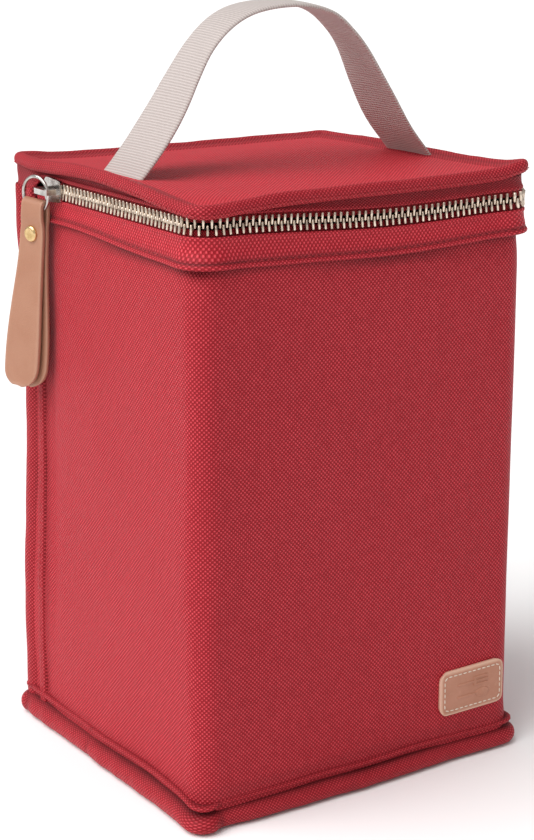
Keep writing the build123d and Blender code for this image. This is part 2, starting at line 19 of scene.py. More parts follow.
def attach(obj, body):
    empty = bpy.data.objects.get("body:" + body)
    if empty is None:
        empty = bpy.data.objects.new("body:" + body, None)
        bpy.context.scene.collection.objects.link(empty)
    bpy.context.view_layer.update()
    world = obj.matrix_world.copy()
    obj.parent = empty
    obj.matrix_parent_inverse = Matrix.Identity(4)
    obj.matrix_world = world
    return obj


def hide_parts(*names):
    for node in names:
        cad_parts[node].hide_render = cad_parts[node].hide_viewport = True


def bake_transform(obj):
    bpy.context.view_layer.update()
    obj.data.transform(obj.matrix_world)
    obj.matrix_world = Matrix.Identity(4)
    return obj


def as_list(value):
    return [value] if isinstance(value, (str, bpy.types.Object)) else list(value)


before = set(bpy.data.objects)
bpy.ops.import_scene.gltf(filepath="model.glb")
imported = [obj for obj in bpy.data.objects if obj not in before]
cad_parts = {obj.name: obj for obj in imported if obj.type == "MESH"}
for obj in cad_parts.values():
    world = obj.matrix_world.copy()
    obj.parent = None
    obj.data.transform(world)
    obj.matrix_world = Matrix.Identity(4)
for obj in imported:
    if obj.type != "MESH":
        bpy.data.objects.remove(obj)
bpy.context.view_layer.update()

LOG = logging.getLogger("lunch_bag")
MM = 0.001
CLOTH_UV = "cloth"
# attribute of painted shade in the cloth's folds and crevices, and of the leather's worn rim
SHADE_AND_WEAR = "shade"

Colour = tuple[float, float, float]
Size = tuple[float, float, float]
Rows = list[tuple[float, float]]


# ---------------------------------------------------------------- shape helpers
def smooth(low: float, high: float, value: float) -> float:
    """Eases from 0 at low to 1 at high."""
    part = min(1.0, max(0.0, (value - low) / (high - low)))
    return part * part * (3 - 2 * part)


def swell(value: float, centre: float, width: float) -> float:
    """A soft bump of height 1 about a centre."""
    return math.exp(-(((value - centre) / width) ** 2))


def rumple(point: Sequence[float], size: float, seed: float) -> float:
    """Slow unevenness of cloth, from about -1 to 1.

    Args:
        point: Place in millimetres.
        size: Length of one wave in millimetres.
        seed: Picks a different, repeatable pattern.

    Returns:
        The unevenness at the point.
    """
    return noise.noise(Vector(point) / size + Vector((17.3, 5.1, 9.7)) * seed)


def spread(low: float, high: float, step: float) -> list[float]:
    """Even places from low to high, no further apart than step."""
    count = max(1, math.ceil((high - low) / step - 1e-6))
    return [low + (high - low) * k / count for k in range(count + 1)]


@dataclass(frozen=True)
class Plan:
    """Rounded rectangle seen from above, walked from the back of the left side round the front."""

    half_w: float
    half_d: float
    front_r: float
    rear_r: float

    def stretches(self) -> list[tuple[float, float]]:
        """Length and radius of each side and corner in turn; a side's radius is 0."""
        side = 2 * self.half_d - self.rear_r - self.front_r
        front = (math.pi * self.front_r / 2, self.front_r)
        rear = (math.pi * self.rear_r / 2, self.rear_r)
        across_front = 2 * (self.half_w - self.front_r)
        across_back = 2 * (self.half_w - self.rear_r)
        return [(side, 0), front, (across_front, 0), front, (side, 0), rear, (across_back, 0), rear]

    def length(self) -> float:
        """Whole way round."""
        return sum(part for part, _ in self.stretches())

    def at(self, along: float) -> tuple[Vector, Vector]:
        """Finds a place on the outline.

        Args:
            along: Distance walked from the back of the left side.

        Returns:
            The point and its outward normal.
        """
        left = along % self.length()
        point = Vector((-self.half_w, self.half_d - self.rear_r, 0))
        heading = -math.pi / 2
        for part, radius in self.stretches():
            step = min(left, part)
            if radius:
                centre = point + radius * Vector((-math.sin(heading), math.cos(heading), 0))
                heading += step / radius
                point = centre + radius * Vector((math.sin(heading), -math.cos(heading), 0))
            else:
                point = point + step * Vector((math.cos(heading), math.sin(heading), 0))
            left -= step
            if left <= 0:
                break
        return point, Vector((math.sin(heading), -math.cos(heading), 0))

    def on_left(self, y: float) -> float:
        """Distance walked at a y on the left side."""
        return self.half_d - self.rear_r - y

    def on_right(self, y: float) -> float:
        """Distance walked at a y on the right side."""
        return sum(part for part, _ in self.stretches()[:4]) + y + self.half_d - self.front_r

    def stations(self, start: float, end: float, spacing: float, corner_steps: int) -> list[float]:
        """Places to cut the outline at, with every corner cut finely.

        Args:
            start: First place.
            end: Last place, which may pass the start of the walk.
            spacing: Most distance between places on a side.
            corner_steps: Pieces that each corner is cut in.

        Returns:
            The distances walked.
        """
        marks, edge = [start], 0.0
        for part, radius in self.stretches() * 2:
            low, high = max(edge, start), min(edge + part, end)
            if high > low + 1e-6:
                steps = corner_steps if radius else max(1, math.ceil((high - low) / spacing))
                marks += [low + (high - low) * k / steps for k in range(1, steps + 1)]
            edge += part
        return marks


@dataclass(frozen=True)
class ZipPlan(Plan):
    """Outline of the zip: wide round the near corner, and out at the shell's edge at the far one."""

    def at(self, along: float) -> tuple[Vector, Vector]:
        """Finds a place on the outline, as a plan does."""
        point, normal = super().at(along)
        towards = smooth(-20, 40, point.x) * smooth(34, -10, point.y)
        corner = swell(math.hypot(point.x - 65, point.y + 60), 0, 8)
        return point + normal * (1.7 * towards + 2.0 * corner), normal


FACE_X, FACE_Y = 67.5, 62.5  # the flat faces of the cloth, from the middle
SHELL = Plan(69.6, 64.6, 5.0, 3.0)
WALLS = Plan(69.6, 64.6, 8.5, 3.0)  # the cloth turns softer corners than its seams do
ZIP_PLAN = ZipPlan(FACE_X, FACE_Y, 9.0, 3.0)
ZIP_Z = 211.2
LID_Z = 218.0
REAR_STRIP_Y = 46.5  # front edge of the seams at the back, on either side
TAPE_END_Y = 46.2


def zip_dip(x: float, y: float) -> float:
    """How far the zip sags off its straight line: down along the front, and level again at the back."""
    front = -3.0 * smooth(-60, 10, x) + 1.1 * smooth(12, 70, x)
    return front * (1 - smooth(-50, 42, y))


def band_edge(x: float, y: float) -> float:
    """Height of the lower edge of the band under the zip."""
    left = 2.2 * smooth(-40, 20, y) * smooth(0, -66, x)
    return 197.2 + left - 2.3 * swell(x, 5, 40) * smooth(-40, -60, y) + 0.25 * rumple((x, y, 9), 24, 9)


def lid_lift(x: float, y: float) -> float:
    """How far the lid's edge rides above its flat line: low at the pinched corner, high along the left."""
    near = math.hypot(x + FACE_X, y + FACE_Y)
    left = 2.4 * swell(y, 4, 34) * smooth(-20, -64, x)
    far = math.hypot(x - FACE_X, y + FACE_Y)
    right = 0.9 * swell(far, 0, 20) + 1.7 * swell(far, 0, 7)
    rear = -0.9 * smooth(30, 62, y) * (1 - smooth(-40, -66, x))
    rear += 0.8 * swell(math.hypot(x + 67, y - 62), 0, 9)
    return -2.4 * swell(near, 0, 20) + left + right + rear


def top_z(x: float, y: float) -> float:
    """Height of the lid's cloth, soft over its foam and lifted or pinched towards its edge."""
    inset = min(68.0 - abs(x), 63.0 - abs(y))
    edge = 1 - smooth(0, 27, inset)
    dome = 0.9 * (1 - (x / 68) ** 2) * (1 - (y / 63) ** 2)
    waves = 0.5 * rumple((x, y, 218), 34, 13) + 0.2 * rumple((x, y, 218), 12, 14)
    feet = -0.4 * swell(abs(x), 63, 7) * swell(y, 0, 14)
    return LID_Z + 0.45 + dome + waves * (1 - edge * 0.5) + feet + lid_lift(x, y) * edge


def lean(point: Vector) -> Vector:
    """Shift of the walls where they settle inwards: at the back left corner, and under the hinge."""
    pull = (smooth(30, 140, point.z) - 0.75 * smooth(165, 206, point.z)) * smooth(12, 62, point.y)
    settled = Vector((1.6 * smooth(30, -60, point.x), -3.4 * smooth(70, -66, point.x) - 0.4, 0)) * pull
    return settled - Vector((0, 1.6 * smooth(194, 204, point.z) * smooth(59, 64, point.y), 0))


def corner_marks(plan: Plan) -> list[float]:
    """Distances walked to the middles of the four corners, front left first."""
    marks, edge = [], 0.0
    for part, radius in plan.stretches():
        if radius:
            marks.append(edge + part / 2)
        edge += part
    return marks


def round_gap(plan: Plan, mark: float, other: float) -> float:
    """Signed distance round a plan from one place to another, the short way."""
    whole = plan.length()
    return (mark - other + whole / 2) % whole - whole / 2


# ---------------------------------------------------------------- meshes
def close_mesh(mesh: bmesh.types.BMesh, name: str) -> bpy.types.Object:
    """Turns a finished bmesh into a piece at the origin, with smooth faces."""
    for face in mesh.faces:
        face.smooth = True
    data = bpy.data.meshes.new(name)
    mesh.to_mesh(data)
    mesh.free()
    piece = bpy.data.objects.new(name, data)
    bpy.context.scene.collection.objects.link(piece)
    return piece


def woven_grid(
    name: str,
    across: Sequence[float],
    along: Sequence[float],
    place: Callable[[float, float], Vector],
    closed: bool = False,
    shade: Callable[[float, float], float] | None = None,
) -> bpy.types.Object:
    """Lays a grid of cloth, with its own flat measure kept as a UV map in metres.

    Args:
        name: Piece name.
        across: Flat distances of the columns; they run round the front, or towards +X.
        along: Flat distances of the rows; they run up on the outside, or towards +Y.
        place: Gives the place of a column and row.
        closed: Whether the last column meets the first.
        shade: Gives the painted shade of each place, darker the further into a fold or crevice it lies, from
            0 to 1; on leather it gives the paler worn rim instead.

    Returns:
        The piece.
    """
    mesh = bmesh.new()
    uv = mesh.loops.layers.uv.new(CLOTH_UV)
    depth = mesh.verts.layers.float.new(SHADE_AND_WEAR)
    bmesh.ops.create_grid(mesh, x_segments=len(across) - 1, y_segments=len(along) - 1, size=0.5)
    flat = {}
    for vertex in mesh.verts:
        column = round((vertex.co.x + 0.5) * (len(across) - 1))
        row = round((vertex.co.y + 0.5) * (len(along) - 1))
        flat[vertex] = (across[column], along[row])
    for face in mesh.faces:
        for loop in face.loops:
            loop[uv].uv = Vector(flat[loop.vert]) * MM
    for vertex, (u, v) in flat.items():
        vertex.co = place(u, v) * MM
        vertex[depth] = shade(u, v) if shade else 0.0
    if closed:
        bmesh.ops.remove_doubles(mesh, verts=mesh.verts, dist=1e-6)
    return close_mesh(mesh, name)


@dataclass
class Roll:
    """A strip of cloth that runs along a plan with a rolled section."""

    plan: Plan
    marks: list[float]
    rows: Callable[[float], Rows]
    # painted shade of each row of the section, from 0 to 1
    row_shade: tuple[float, ...] = ()
    closed: bool = False
    # painted shade of creases across the strip, by distance along it
    fold: Callable[[float], float] | None = None

    def build(self, name: str) -> bpy.types.Object:
        """Makes the strip; its rows run from the bottom up the outside."""
        sections = {mark: self.rows(mark) for mark in self.marks}
        first = sections[self.marks[0]]
        along = [0.0]
        for low, high in zip(first, first[1:]):
            along.append(along[-1] + max(0.05, math.dist(low, high)))
        row_of = {distance: row for row, distance in enumerate(along)}

        def place(mark: float, distance: float) -> Vector:
            """Place of a row of the section at a distance along the plan."""
            point, normal = self.plan.at(mark)
            out, up = sections[mark][row_of[distance]]
            return point + normal * out + Vector((0, 0, up))

        def shade(mark: float, distance: float) -> float:
            """Painted shade: the larger of the row's depth in a fold and the place's depth in a crease across
            the strip.
            """
            row = self.row_shade[row_of[distance]] if self.row_shade else 0.0
            return max(row, self.fold(mark) if self.fold else 0.0)

        return woven_grid(name, self.marks, along, place, self.closed, shade)


def beads(name: str, places: Sequence[Matrix], size: Size) -> bpy.types.Object:
    """Makes many short rounded stitches as one piece.

    Args:
        name: Piece name.
        places: Where each stitch lies, with its length along its own X.
        size: Length, width and height of one stitch.

    Returns:
        The piece.
    """
    mesh = bmesh.new()
    form = Matrix.Diagonal((*(s / 2 for s in size), 1))
    upright = Matrix.Rotation(math.pi / 2, 4, "Y")
    for spot in places:
        bmesh.ops.create_uvsphere(mesh, u_segments=6, v_segments=4, radius=1, matrix=spot @ form @ upright)
    bmesh.ops.scale(mesh, vec=(MM, MM, MM), verts=mesh.verts)
    return close_mesh(mesh, name)


def bevel(mesh: bmesh.types.BMesh, width: float, segments: int) -> None:
    """Bevels every edge of a mesh."""
    edges = mesh.edges[:]
    bmesh.ops.bevel(
        mesh, geom=edges, offset=width, affect="EDGES", segments=segments, profile=0.5, material=-1
    )


def set_frame(place: Vector, run: Vector, out: Vector) -> Matrix:
    """A frame with X along a run and Z outwards, at a place."""
    x = run.normalized()
    z = (out - x * out.dot(x)).normalized()
    y = z.cross(x)
    return Matrix.Translation(place) @ Matrix((x, y, z)).transposed().to_4x4()


def stitch_row(
    name: str,
    plan: Plan,
    marks: Sequence[float],
    place: Callable[[float], tuple[float, float]],
    size: Size,
) -> bpy.types.Object:
    """Sews a row of stitches along a plan.

    Args:
        name: Piece name.
        plan: Outline that the row follows.
        marks: Distance of each stitch.
        place: Gives how far out and how high the row lies.
        size: Length, width and height of one stitch.

    Returns:
        The piece.
    """
    def spot(mark: float) -> Vector:
        """Middle of the row at a distance."""
        point, normal = plan.at(mark)
        out, up = place(mark)
        return point + normal * out + Vector((0, 0, up))

    places = []
    for mark in marks:
        run = spot(mark + 1) - spot(mark - 1)
        places.append(set_frame(spot(mark), run, plan.at(mark)[1]))
    return beads(name, places, size)


# ---------------------------------------------------------------- shader maths
class Signal:
    """A number that varies over a surface, with Python's operators."""

    def __init__(self, recipe: "Recipe", socket: bpy.types.NodeSocket) -> None:
        """Wraps one output socket."""
        self.recipe, self.socket = recipe, socket

    def _maths(self, operation: str, *values: "Signal | float") -> "Signal":
        """Adds one Math node."""
        node = self.recipe.add("ShaderNodeMath", {"operation": operation}, dict(enumerate(values)))
        return Signal(self.recipe, node.outputs[0])

    def __add__(self, other: "Signal | float") -> "Signal":
        """self + other."""
        return self._maths("ADD", self, other)

    __radd__ = __add__

    def __sub__(self, other: "Signal | float") -> "Signal":
        """self - other."""
        return self._maths("SUBTRACT", self, other)

    def __rsub__(self, other: float) -> "Signal":
        """other - self."""
        return self._maths("SUBTRACT", other, self)

    def __mul__(self, other: "Signal | float") -> "Signal":
        """self * other."""
        return self._maths("MULTIPLY", self, other)

    __rmul__ = __mul__

    def __pow__(self, power: float) -> "Signal":
        """self ** power."""
        return self._maths("POWER", self, power)

    def sine(self) -> "Signal":
        """Sine, in radians."""
        return self._maths("SINE", self)

    def eased(self, low: float, high: float) -> "Signal":
        """Eases from 0 at low to 1 at high."""
        ends = {"From Min": low, "From Max": high}
        kind = {"interpolation_type": "SMOOTHSTEP"}
        node = self.recipe.add("ShaderNodeMapRange", kind, {"Value": self, **ends})
        return Signal(self.recipe, node.outputs[0])


class Layout(Enum):
    """Where a woven pattern takes its directions from."""

    CUT = "the cloth's own flat measure"
    FLAT = "straight down, for CAD pieces that lie flat"


class Recipe:
    """Builds one node material."""

    def __init__(self, name: str) -> None:
        """Starts an empty material with its shader and output."""
        self.material = bpy.data.materials.new(name)
        self.material.use_nodes = True
        self.tree = self.material.node_tree
        self.tree.nodes.clear()
        self.shader = self.add("ShaderNodeBsdfPrincipled")
        self.add("ShaderNodeOutputMaterial", None, {"Surface": self.shader.outputs[0]})

    def add(self, kind: str, settings: dict | None = None, inputs: dict | None = None) -> bpy.types.Node:
        """Adds a node.

        Args:
            kind: Node type.
            settings: Its properties, set first.
            inputs: Values, signals or sockets for its inputs, by name or number.

        Returns:
            The node.
        """
        node = self.tree.nodes.new(kind)
        for key, value in (settings or {}).items():
            setattr(node, key, value)
        for key, value in (inputs or {}).items():
            self.feed(node.inputs[key], value)
        return node

    def feed(self, socket: bpy.types.NodeSocket, value: object) -> None:
        """Links or sets one input."""
        if isinstance(value, Signal):
            self.tree.links.new(value.socket, socket)
        elif isinstance(value, bpy.types.NodeSocket):
            self.tree.links.new(value, socket)
        elif isinstance(value, tuple) and len(value) == 3 and socket.type == "RGBA":
            socket.default_value = (*value, 1)
        else:
            socket.default_value = value

    def where(self, layout: Layout) -> bpy.types.NodeSocket:
        """Coordinates in metres for a pattern."""
        if layout is Layout.CUT:
            return self.add("ShaderNodeUVMap", {"uv_map": CLOTH_UV}).outputs[0]
        return self.add("ShaderNodeTexCoord").outputs["Object"]

    def directions(self, layout: Layout) -> tuple[Signal, Signal]:
        """The two directions of a weave, in metres."""
        parts = self.add("ShaderNodeSeparateXYZ", None, {0: self.where(layout)}).outputs
        return Signal(self, parts[0]), Signal(self, parts[1])

    def noise(self, size: float, detail: float) -> Signal:
        """Soft noise from about 0 to 1, with waves of a size in metres."""
        inputs = {"Vector": self.where(Layout.FLAT), "Scale": 1 / size, "Detail": detail}
        return Signal(self, self.add("ShaderNodeTexNoise", None, inputs).outputs[0])

    def cells(self, size: float) -> Signal:
        """Distance from the middles of small cells of a size in metres."""
        inputs = {"Vector": self.where(Layout.FLAT), "Scale": 1 / size}
        return Signal(self, self.add("ShaderNodeTexVoronoi", None, inputs).outputs[0])

    def shade(self) -> Signal:
        """Painted shade in folds on cloth, and the paler worn rim on leather, kept on the mesh."""
        return Signal(self, self.add("ShaderNodeAttribute", {"attribute_name": SHADE_AND_WEAR}).outputs["Fac"])

    def blend(self, part: Signal, low: object, high: object) -> bpy.types.NodeSocket:
        """Mixes two colours by a signal."""
        node = self.add("ShaderNodeMix", {"data_type": "RGBA"}, {0: part, 6: low, 7: high})
        return node.outputs[2]

    def relief(self, height: Signal, depth: float, strength: float = 1.0) -> None:
        """Raises the surface by up to a depth in metres."""
        bump = self.add("ShaderNodeBump", None, {"Height": height, "Distance": depth, "Strength": strength})
        self.feed(self.shader.inputs["Normal"], bump.outputs[0])

    def finish(self, **sockets: object) -> bpy.types.Material:
        """Feeds the shader's sockets, with _ for the spaces in their names."""
        for key, value in sockets.items():
            self.feed(self.shader.inputs[key.replace("_", " ").title().replace("Ior", "IOR")], value)
        return self.material


# ---------------------------------------------------------------- finishes
@dataclass(frozen=True)
class Weave:
    """Coated plain weave, a checkerboard of raised threads; its colour is painted darker in the holes between
    them, as shade, and lighter on their tops, as glints.
    """

    name: str
    bright: Colour
    dark: Colour
    pitch: float = 0.78
    relief_mm: float = 0.24
    rough: float = 0.5
    # how far the painted shade in folds darkens the cloth
    fold_shade_strength: float = 0.87
    layout: Layout = Layout.CUT

    def build(self) -> bpy.types.Material:
        """Makes the material."""
        recipe = Recipe(self.name)
        u, v = recipe.directions(self.layout)
        wander = recipe.noise(9 * MM, 2) - 0.5
        slub = recipe.noise(2.2 * MM, 2)
        turn = math.pi / (self.pitch * MM)
        warp = (u * turn + wander * 1.1).sine()
        weft = (v * turn + wander * 0.9).sine()
        height = (warp * weft) * 0.5 + 0.5
        raised = height * (slub * 0.5 + 0.72)
        broad = recipe.noise(55 * MM, 3)
        # painted shade and glints: dark in the holes between threads, bright on their tops, with a broad
        # random tone of the cloth's own
        tone = raised.eased(0.42, 0.95) * (broad * 0.4 + 0.8)
        cloth = recipe.blend(tone, self.dark, self.bright)
        # painted shade: the cloth darkens towards a dark copy of its colour by the fold depth kept on the
        # mesh
        shade_colour = tuple(part * (1 - self.fold_shade_strength) for part in self.bright)
        colour = recipe.blend(recipe.shade(), cloth, shade_colour)
        recipe.relief(raised, self.relief_mm * MM)
        return recipe.finish(
            base_color=colour,
            roughness=self.rough + (slub - 0.5) * 0.16,
            specular_ior_level=0.16,
            sheen_weight=0.3,
            sheen_roughness=0.4,
            sheen_tint=(1.0, 0.13, 0.16),
        )


@dataclass(frozen=True)
class Webbing:
    """Cotton webbing with ribs across it and a fine herringbone along them."""

    name: str
    bright: Colour
    dark: Colour
    rib: float = 1.05

    def build(self) -> bpy.types.Material:
        """Makes the material."""
        recipe = Recipe(self.name)
        u, v = recipe.directions(Layout.CUT)
        fuzz = recipe.noise(0.6 * MM, 3)
        wander = recipe.noise(6 * MM, 2) - 0.5
        ribs = ((v * (2 * math.pi / (self.rib * MM)) + wander * 1.2).sine() * 0.5 + 0.5) ** 0.7
        ends = ((u * (2 * math.pi / (1.5 * MM))).sine() * 0.5 + 0.5) * 0.35 + 0.65
        height = ribs * ends
        tone = height.eased(0.05, 0.75) * (fuzz * 0.2 + 0.86)
        colour = recipe.blend(tone, self.dark, self.bright)
        recipe.relief(height + fuzz * 0.25, 0.26 * MM)
        rough = 0.82 + (fuzz - 0.5) * 0.1
        return recipe.finish(base_color=colour, roughness=rough, sheen_weight=0.25, sheen_roughness=0.5)


@dataclass(frozen=True)
class Leather:
    """Vegetable-tanned leather with fine grain, cloudy colour and a paler worn rim."""

    name: str
    body: Colour
    cloudy: Colour
    worn: Colour
    grain: float = 0.55

    def build(self) -> bpy.types.Material:
        """Makes the material."""
        recipe = Recipe(self.name)
        pores = recipe.cells(self.grain * MM)
        fibre = recipe.noise(0.35 * MM, 3)
        clouds = recipe.noise(11 * MM, 4)
        crease = recipe.noise(3.2 * MM, 5)
        colour = recipe.blend(clouds.eased(0.3, 0.72), self.body, self.cloudy)
        colour = recipe.blend(crease.eased(0.56, 0.78) * 0.14, colour, self.worn)
        # on leather the same attribute gives the paler worn rim, the leather's own colour
        colour = recipe.blend(recipe.shade(), colour, self.worn)
        recipe.relief(pores * 0.7 + fibre * 0.5 + crease * 0.6, 0.09 * MM)
        return recipe.finish(base_color=colour, roughness=0.5 + (crease - 0.5) * 0.3, specular_ior_level=0.45)


@dataclass(frozen=True)
class Metal:
    """Plated metal with tiny scratches and duller patches."""

    name: str
    bright: Colour
    dull: Colour
    rough: float

    def build(self) -> bpy.types.Material:
        """Makes the material."""
        recipe = Recipe(self.name)
        patch = recipe.noise(2.4 * MM, 4)
        scratch = recipe.noise(0.3 * MM, 3)
        colour = recipe.blend(patch.eased(0.35, 0.7), self.bright, self.dull)
        recipe.relief(scratch, 0.02 * MM, 0.5)
        return recipe.finish(base_color=colour, metallic=1.0, roughness=self.rough + (patch - 0.5) * 0.16)


@dataclass(frozen=True)
class Soft:
    """Thread, foam, film or board: a plain body with its own fine surface."""

    name: str
    bright: Colour
    dark: Colour
    grain: float
    relief_mm: float
    rough: float
    metallic: float = 0.0

    def build(self) -> bpy.types.Material:
        """Makes the material."""
        recipe = Recipe(self.name)
        grain = recipe.noise(self.grain * MM, 3)
        broad = recipe.noise(self.grain * 12 * MM, 2)
        colour = recipe.blend(grain * 0.6 + broad * 0.4, self.dark, self.bright)
        recipe.relief(grain, self.relief_mm * MM)
        rough = self.rough + (broad - 0.5) * 0.12
        return recipe.finish(base_color=colour, metallic=self.metallic, roughness=rough)


class Finishes:
    """The object's materials, made once."""

    def __init__(self) -> None:
        """Builds every finish."""
        # each weave's dark colour is the painted shade in the holes between its threads
        red, shade_colour = (0.68, 0.066, 0.086), (0.28, 0.009, 0.016)
        self.shell = Weave("red_cloth", red, shade_colour).build()
        seam, seam_deep = (0.6, 0.056, 0.073), (0.25, 0.007, 0.013)
        self.seam = Weave("red_seam_cloth", seam, seam_deep, pitch=0.74).build()
        # painted light: the lid's top is a brighter copy of the same red cloth, lighter because light falls
        # on it from above
        self.top = Weave("red_cloth_top_painted_light", (0.86, 0.083, 0.108), (0.38, 0.013, 0.021)).build()
        # painted light: the band is a lighter copy of the same red cloth as the walls
        self.band = Weave("red_band_cloth_painted_light", (0.75, 0.071, 0.093), (0.32, 0.01, 0.018)).build()
        # painted shade: the tapes are a darker copy of the red, for the shadow they sit in
        self.tape = Weave("zip_tape_cloth_painted_shade", (0.36, 0.012, 0.02), (0.13, 0.003, 0.006), pitch=0.5).build()
        self.under = Weave("red_cloth_flat", red, shade_colour, layout=Layout.FLAT).build()
        self.webbing = Webbing("cream_webbing", (0.54, 0.47, 0.445), (0.43, 0.37, 0.345)).build()
        tan, tan_cloudy, tan_worn = (0.375, 0.17, 0.1), (0.4, 0.19, 0.115), (0.46, 0.25, 0.17)
        self.leather = Leather("tan_leather", tan, tan_cloudy, tan_worn).build()
        rosy, rosy_cloudy, rosy_worn = (0.44, 0.19, 0.115), (0.5, 0.23, 0.15), (0.72, 0.46, 0.34)
        self.label = Leather("label_leather", rosy, rosy_cloudy, rosy_worn).build()
        self.zip = Metal("pale_gold", (0.8, 0.68, 0.56), (0.46, 0.37, 0.3), 0.3).build()
        self.nickel = Metal("nickel", (0.62, 0.59, 0.56), (0.4, 0.37, 0.35), 0.2).build()
        self.brass = Metal("brass", (0.82, 0.6, 0.31), (0.6, 0.4, 0.18), 0.22).build()
        self.thread = Soft("red_thread", (0.5, 0.02, 0.03), (0.24, 0.006, 0.01), 0.3, 0.05, 0.5).build()
        self.cream = Soft("cream_thread", (0.84, 0.76, 0.66), (0.6, 0.5, 0.4), 0.3, 0.05, 0.6).build()
        self.film = Soft("silver_film", (0.82, 0.82, 0.83), (0.5, 0.5, 0.52), 1.6, 0.22, 0.34, 0.75).build()
        self.foam = Soft("grey_foam", (0.8, 0.8, 0.78), (0.5, 0.5, 0.48), 0.8, 0.3, 0.85).build()
        self.board = Soft("grey_board", (0.4, 0.38, 0.35), (0.2, 0.19, 0.17), 0.7, 0.1, 0.8).build()


def dress(
    piece: bpy.types.Object,
    material: bpy.types.Material,
    body: str | None,
    stands_for: Sequence[str] = (),
    thickness: float = 0.0,
    rounds: int = 0,
    offset: float = -1.0,
) -> bpy.types.Object:
    """Finishes a piece and gives it its place in the frame.

    Args:
        piece: The piece.
        material: Its material.
        body: CAD body that it rides on, or None to leave it unattached.
        stands_for: CAD nodes that it stands for.
        thickness: Thickness in millimetres that a sheet gets.
        rounds: Levels of subdivision.
        offset: Side that the thickness grows on, -1 for inwards.

    Returns:
        The piece.
    """
    piece.data.materials.append(material)
    if thickness:
        wall = piece.modifiers.new("thickness", "SOLIDIFY")
        wall.thickness, wall.offset = thickness * MM, offset
    if rounds:
        rounder = piece.modifiers.new("rounding", "SUBSURF")
        rounder.levels = rounder.render_levels = rounds
    if body:
        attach(piece, body)
    if stands_for:
        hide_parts(*stands_for)
    LOG.info("%s: %d faces", piece.name, len(piece.data.polygons))
    return piece


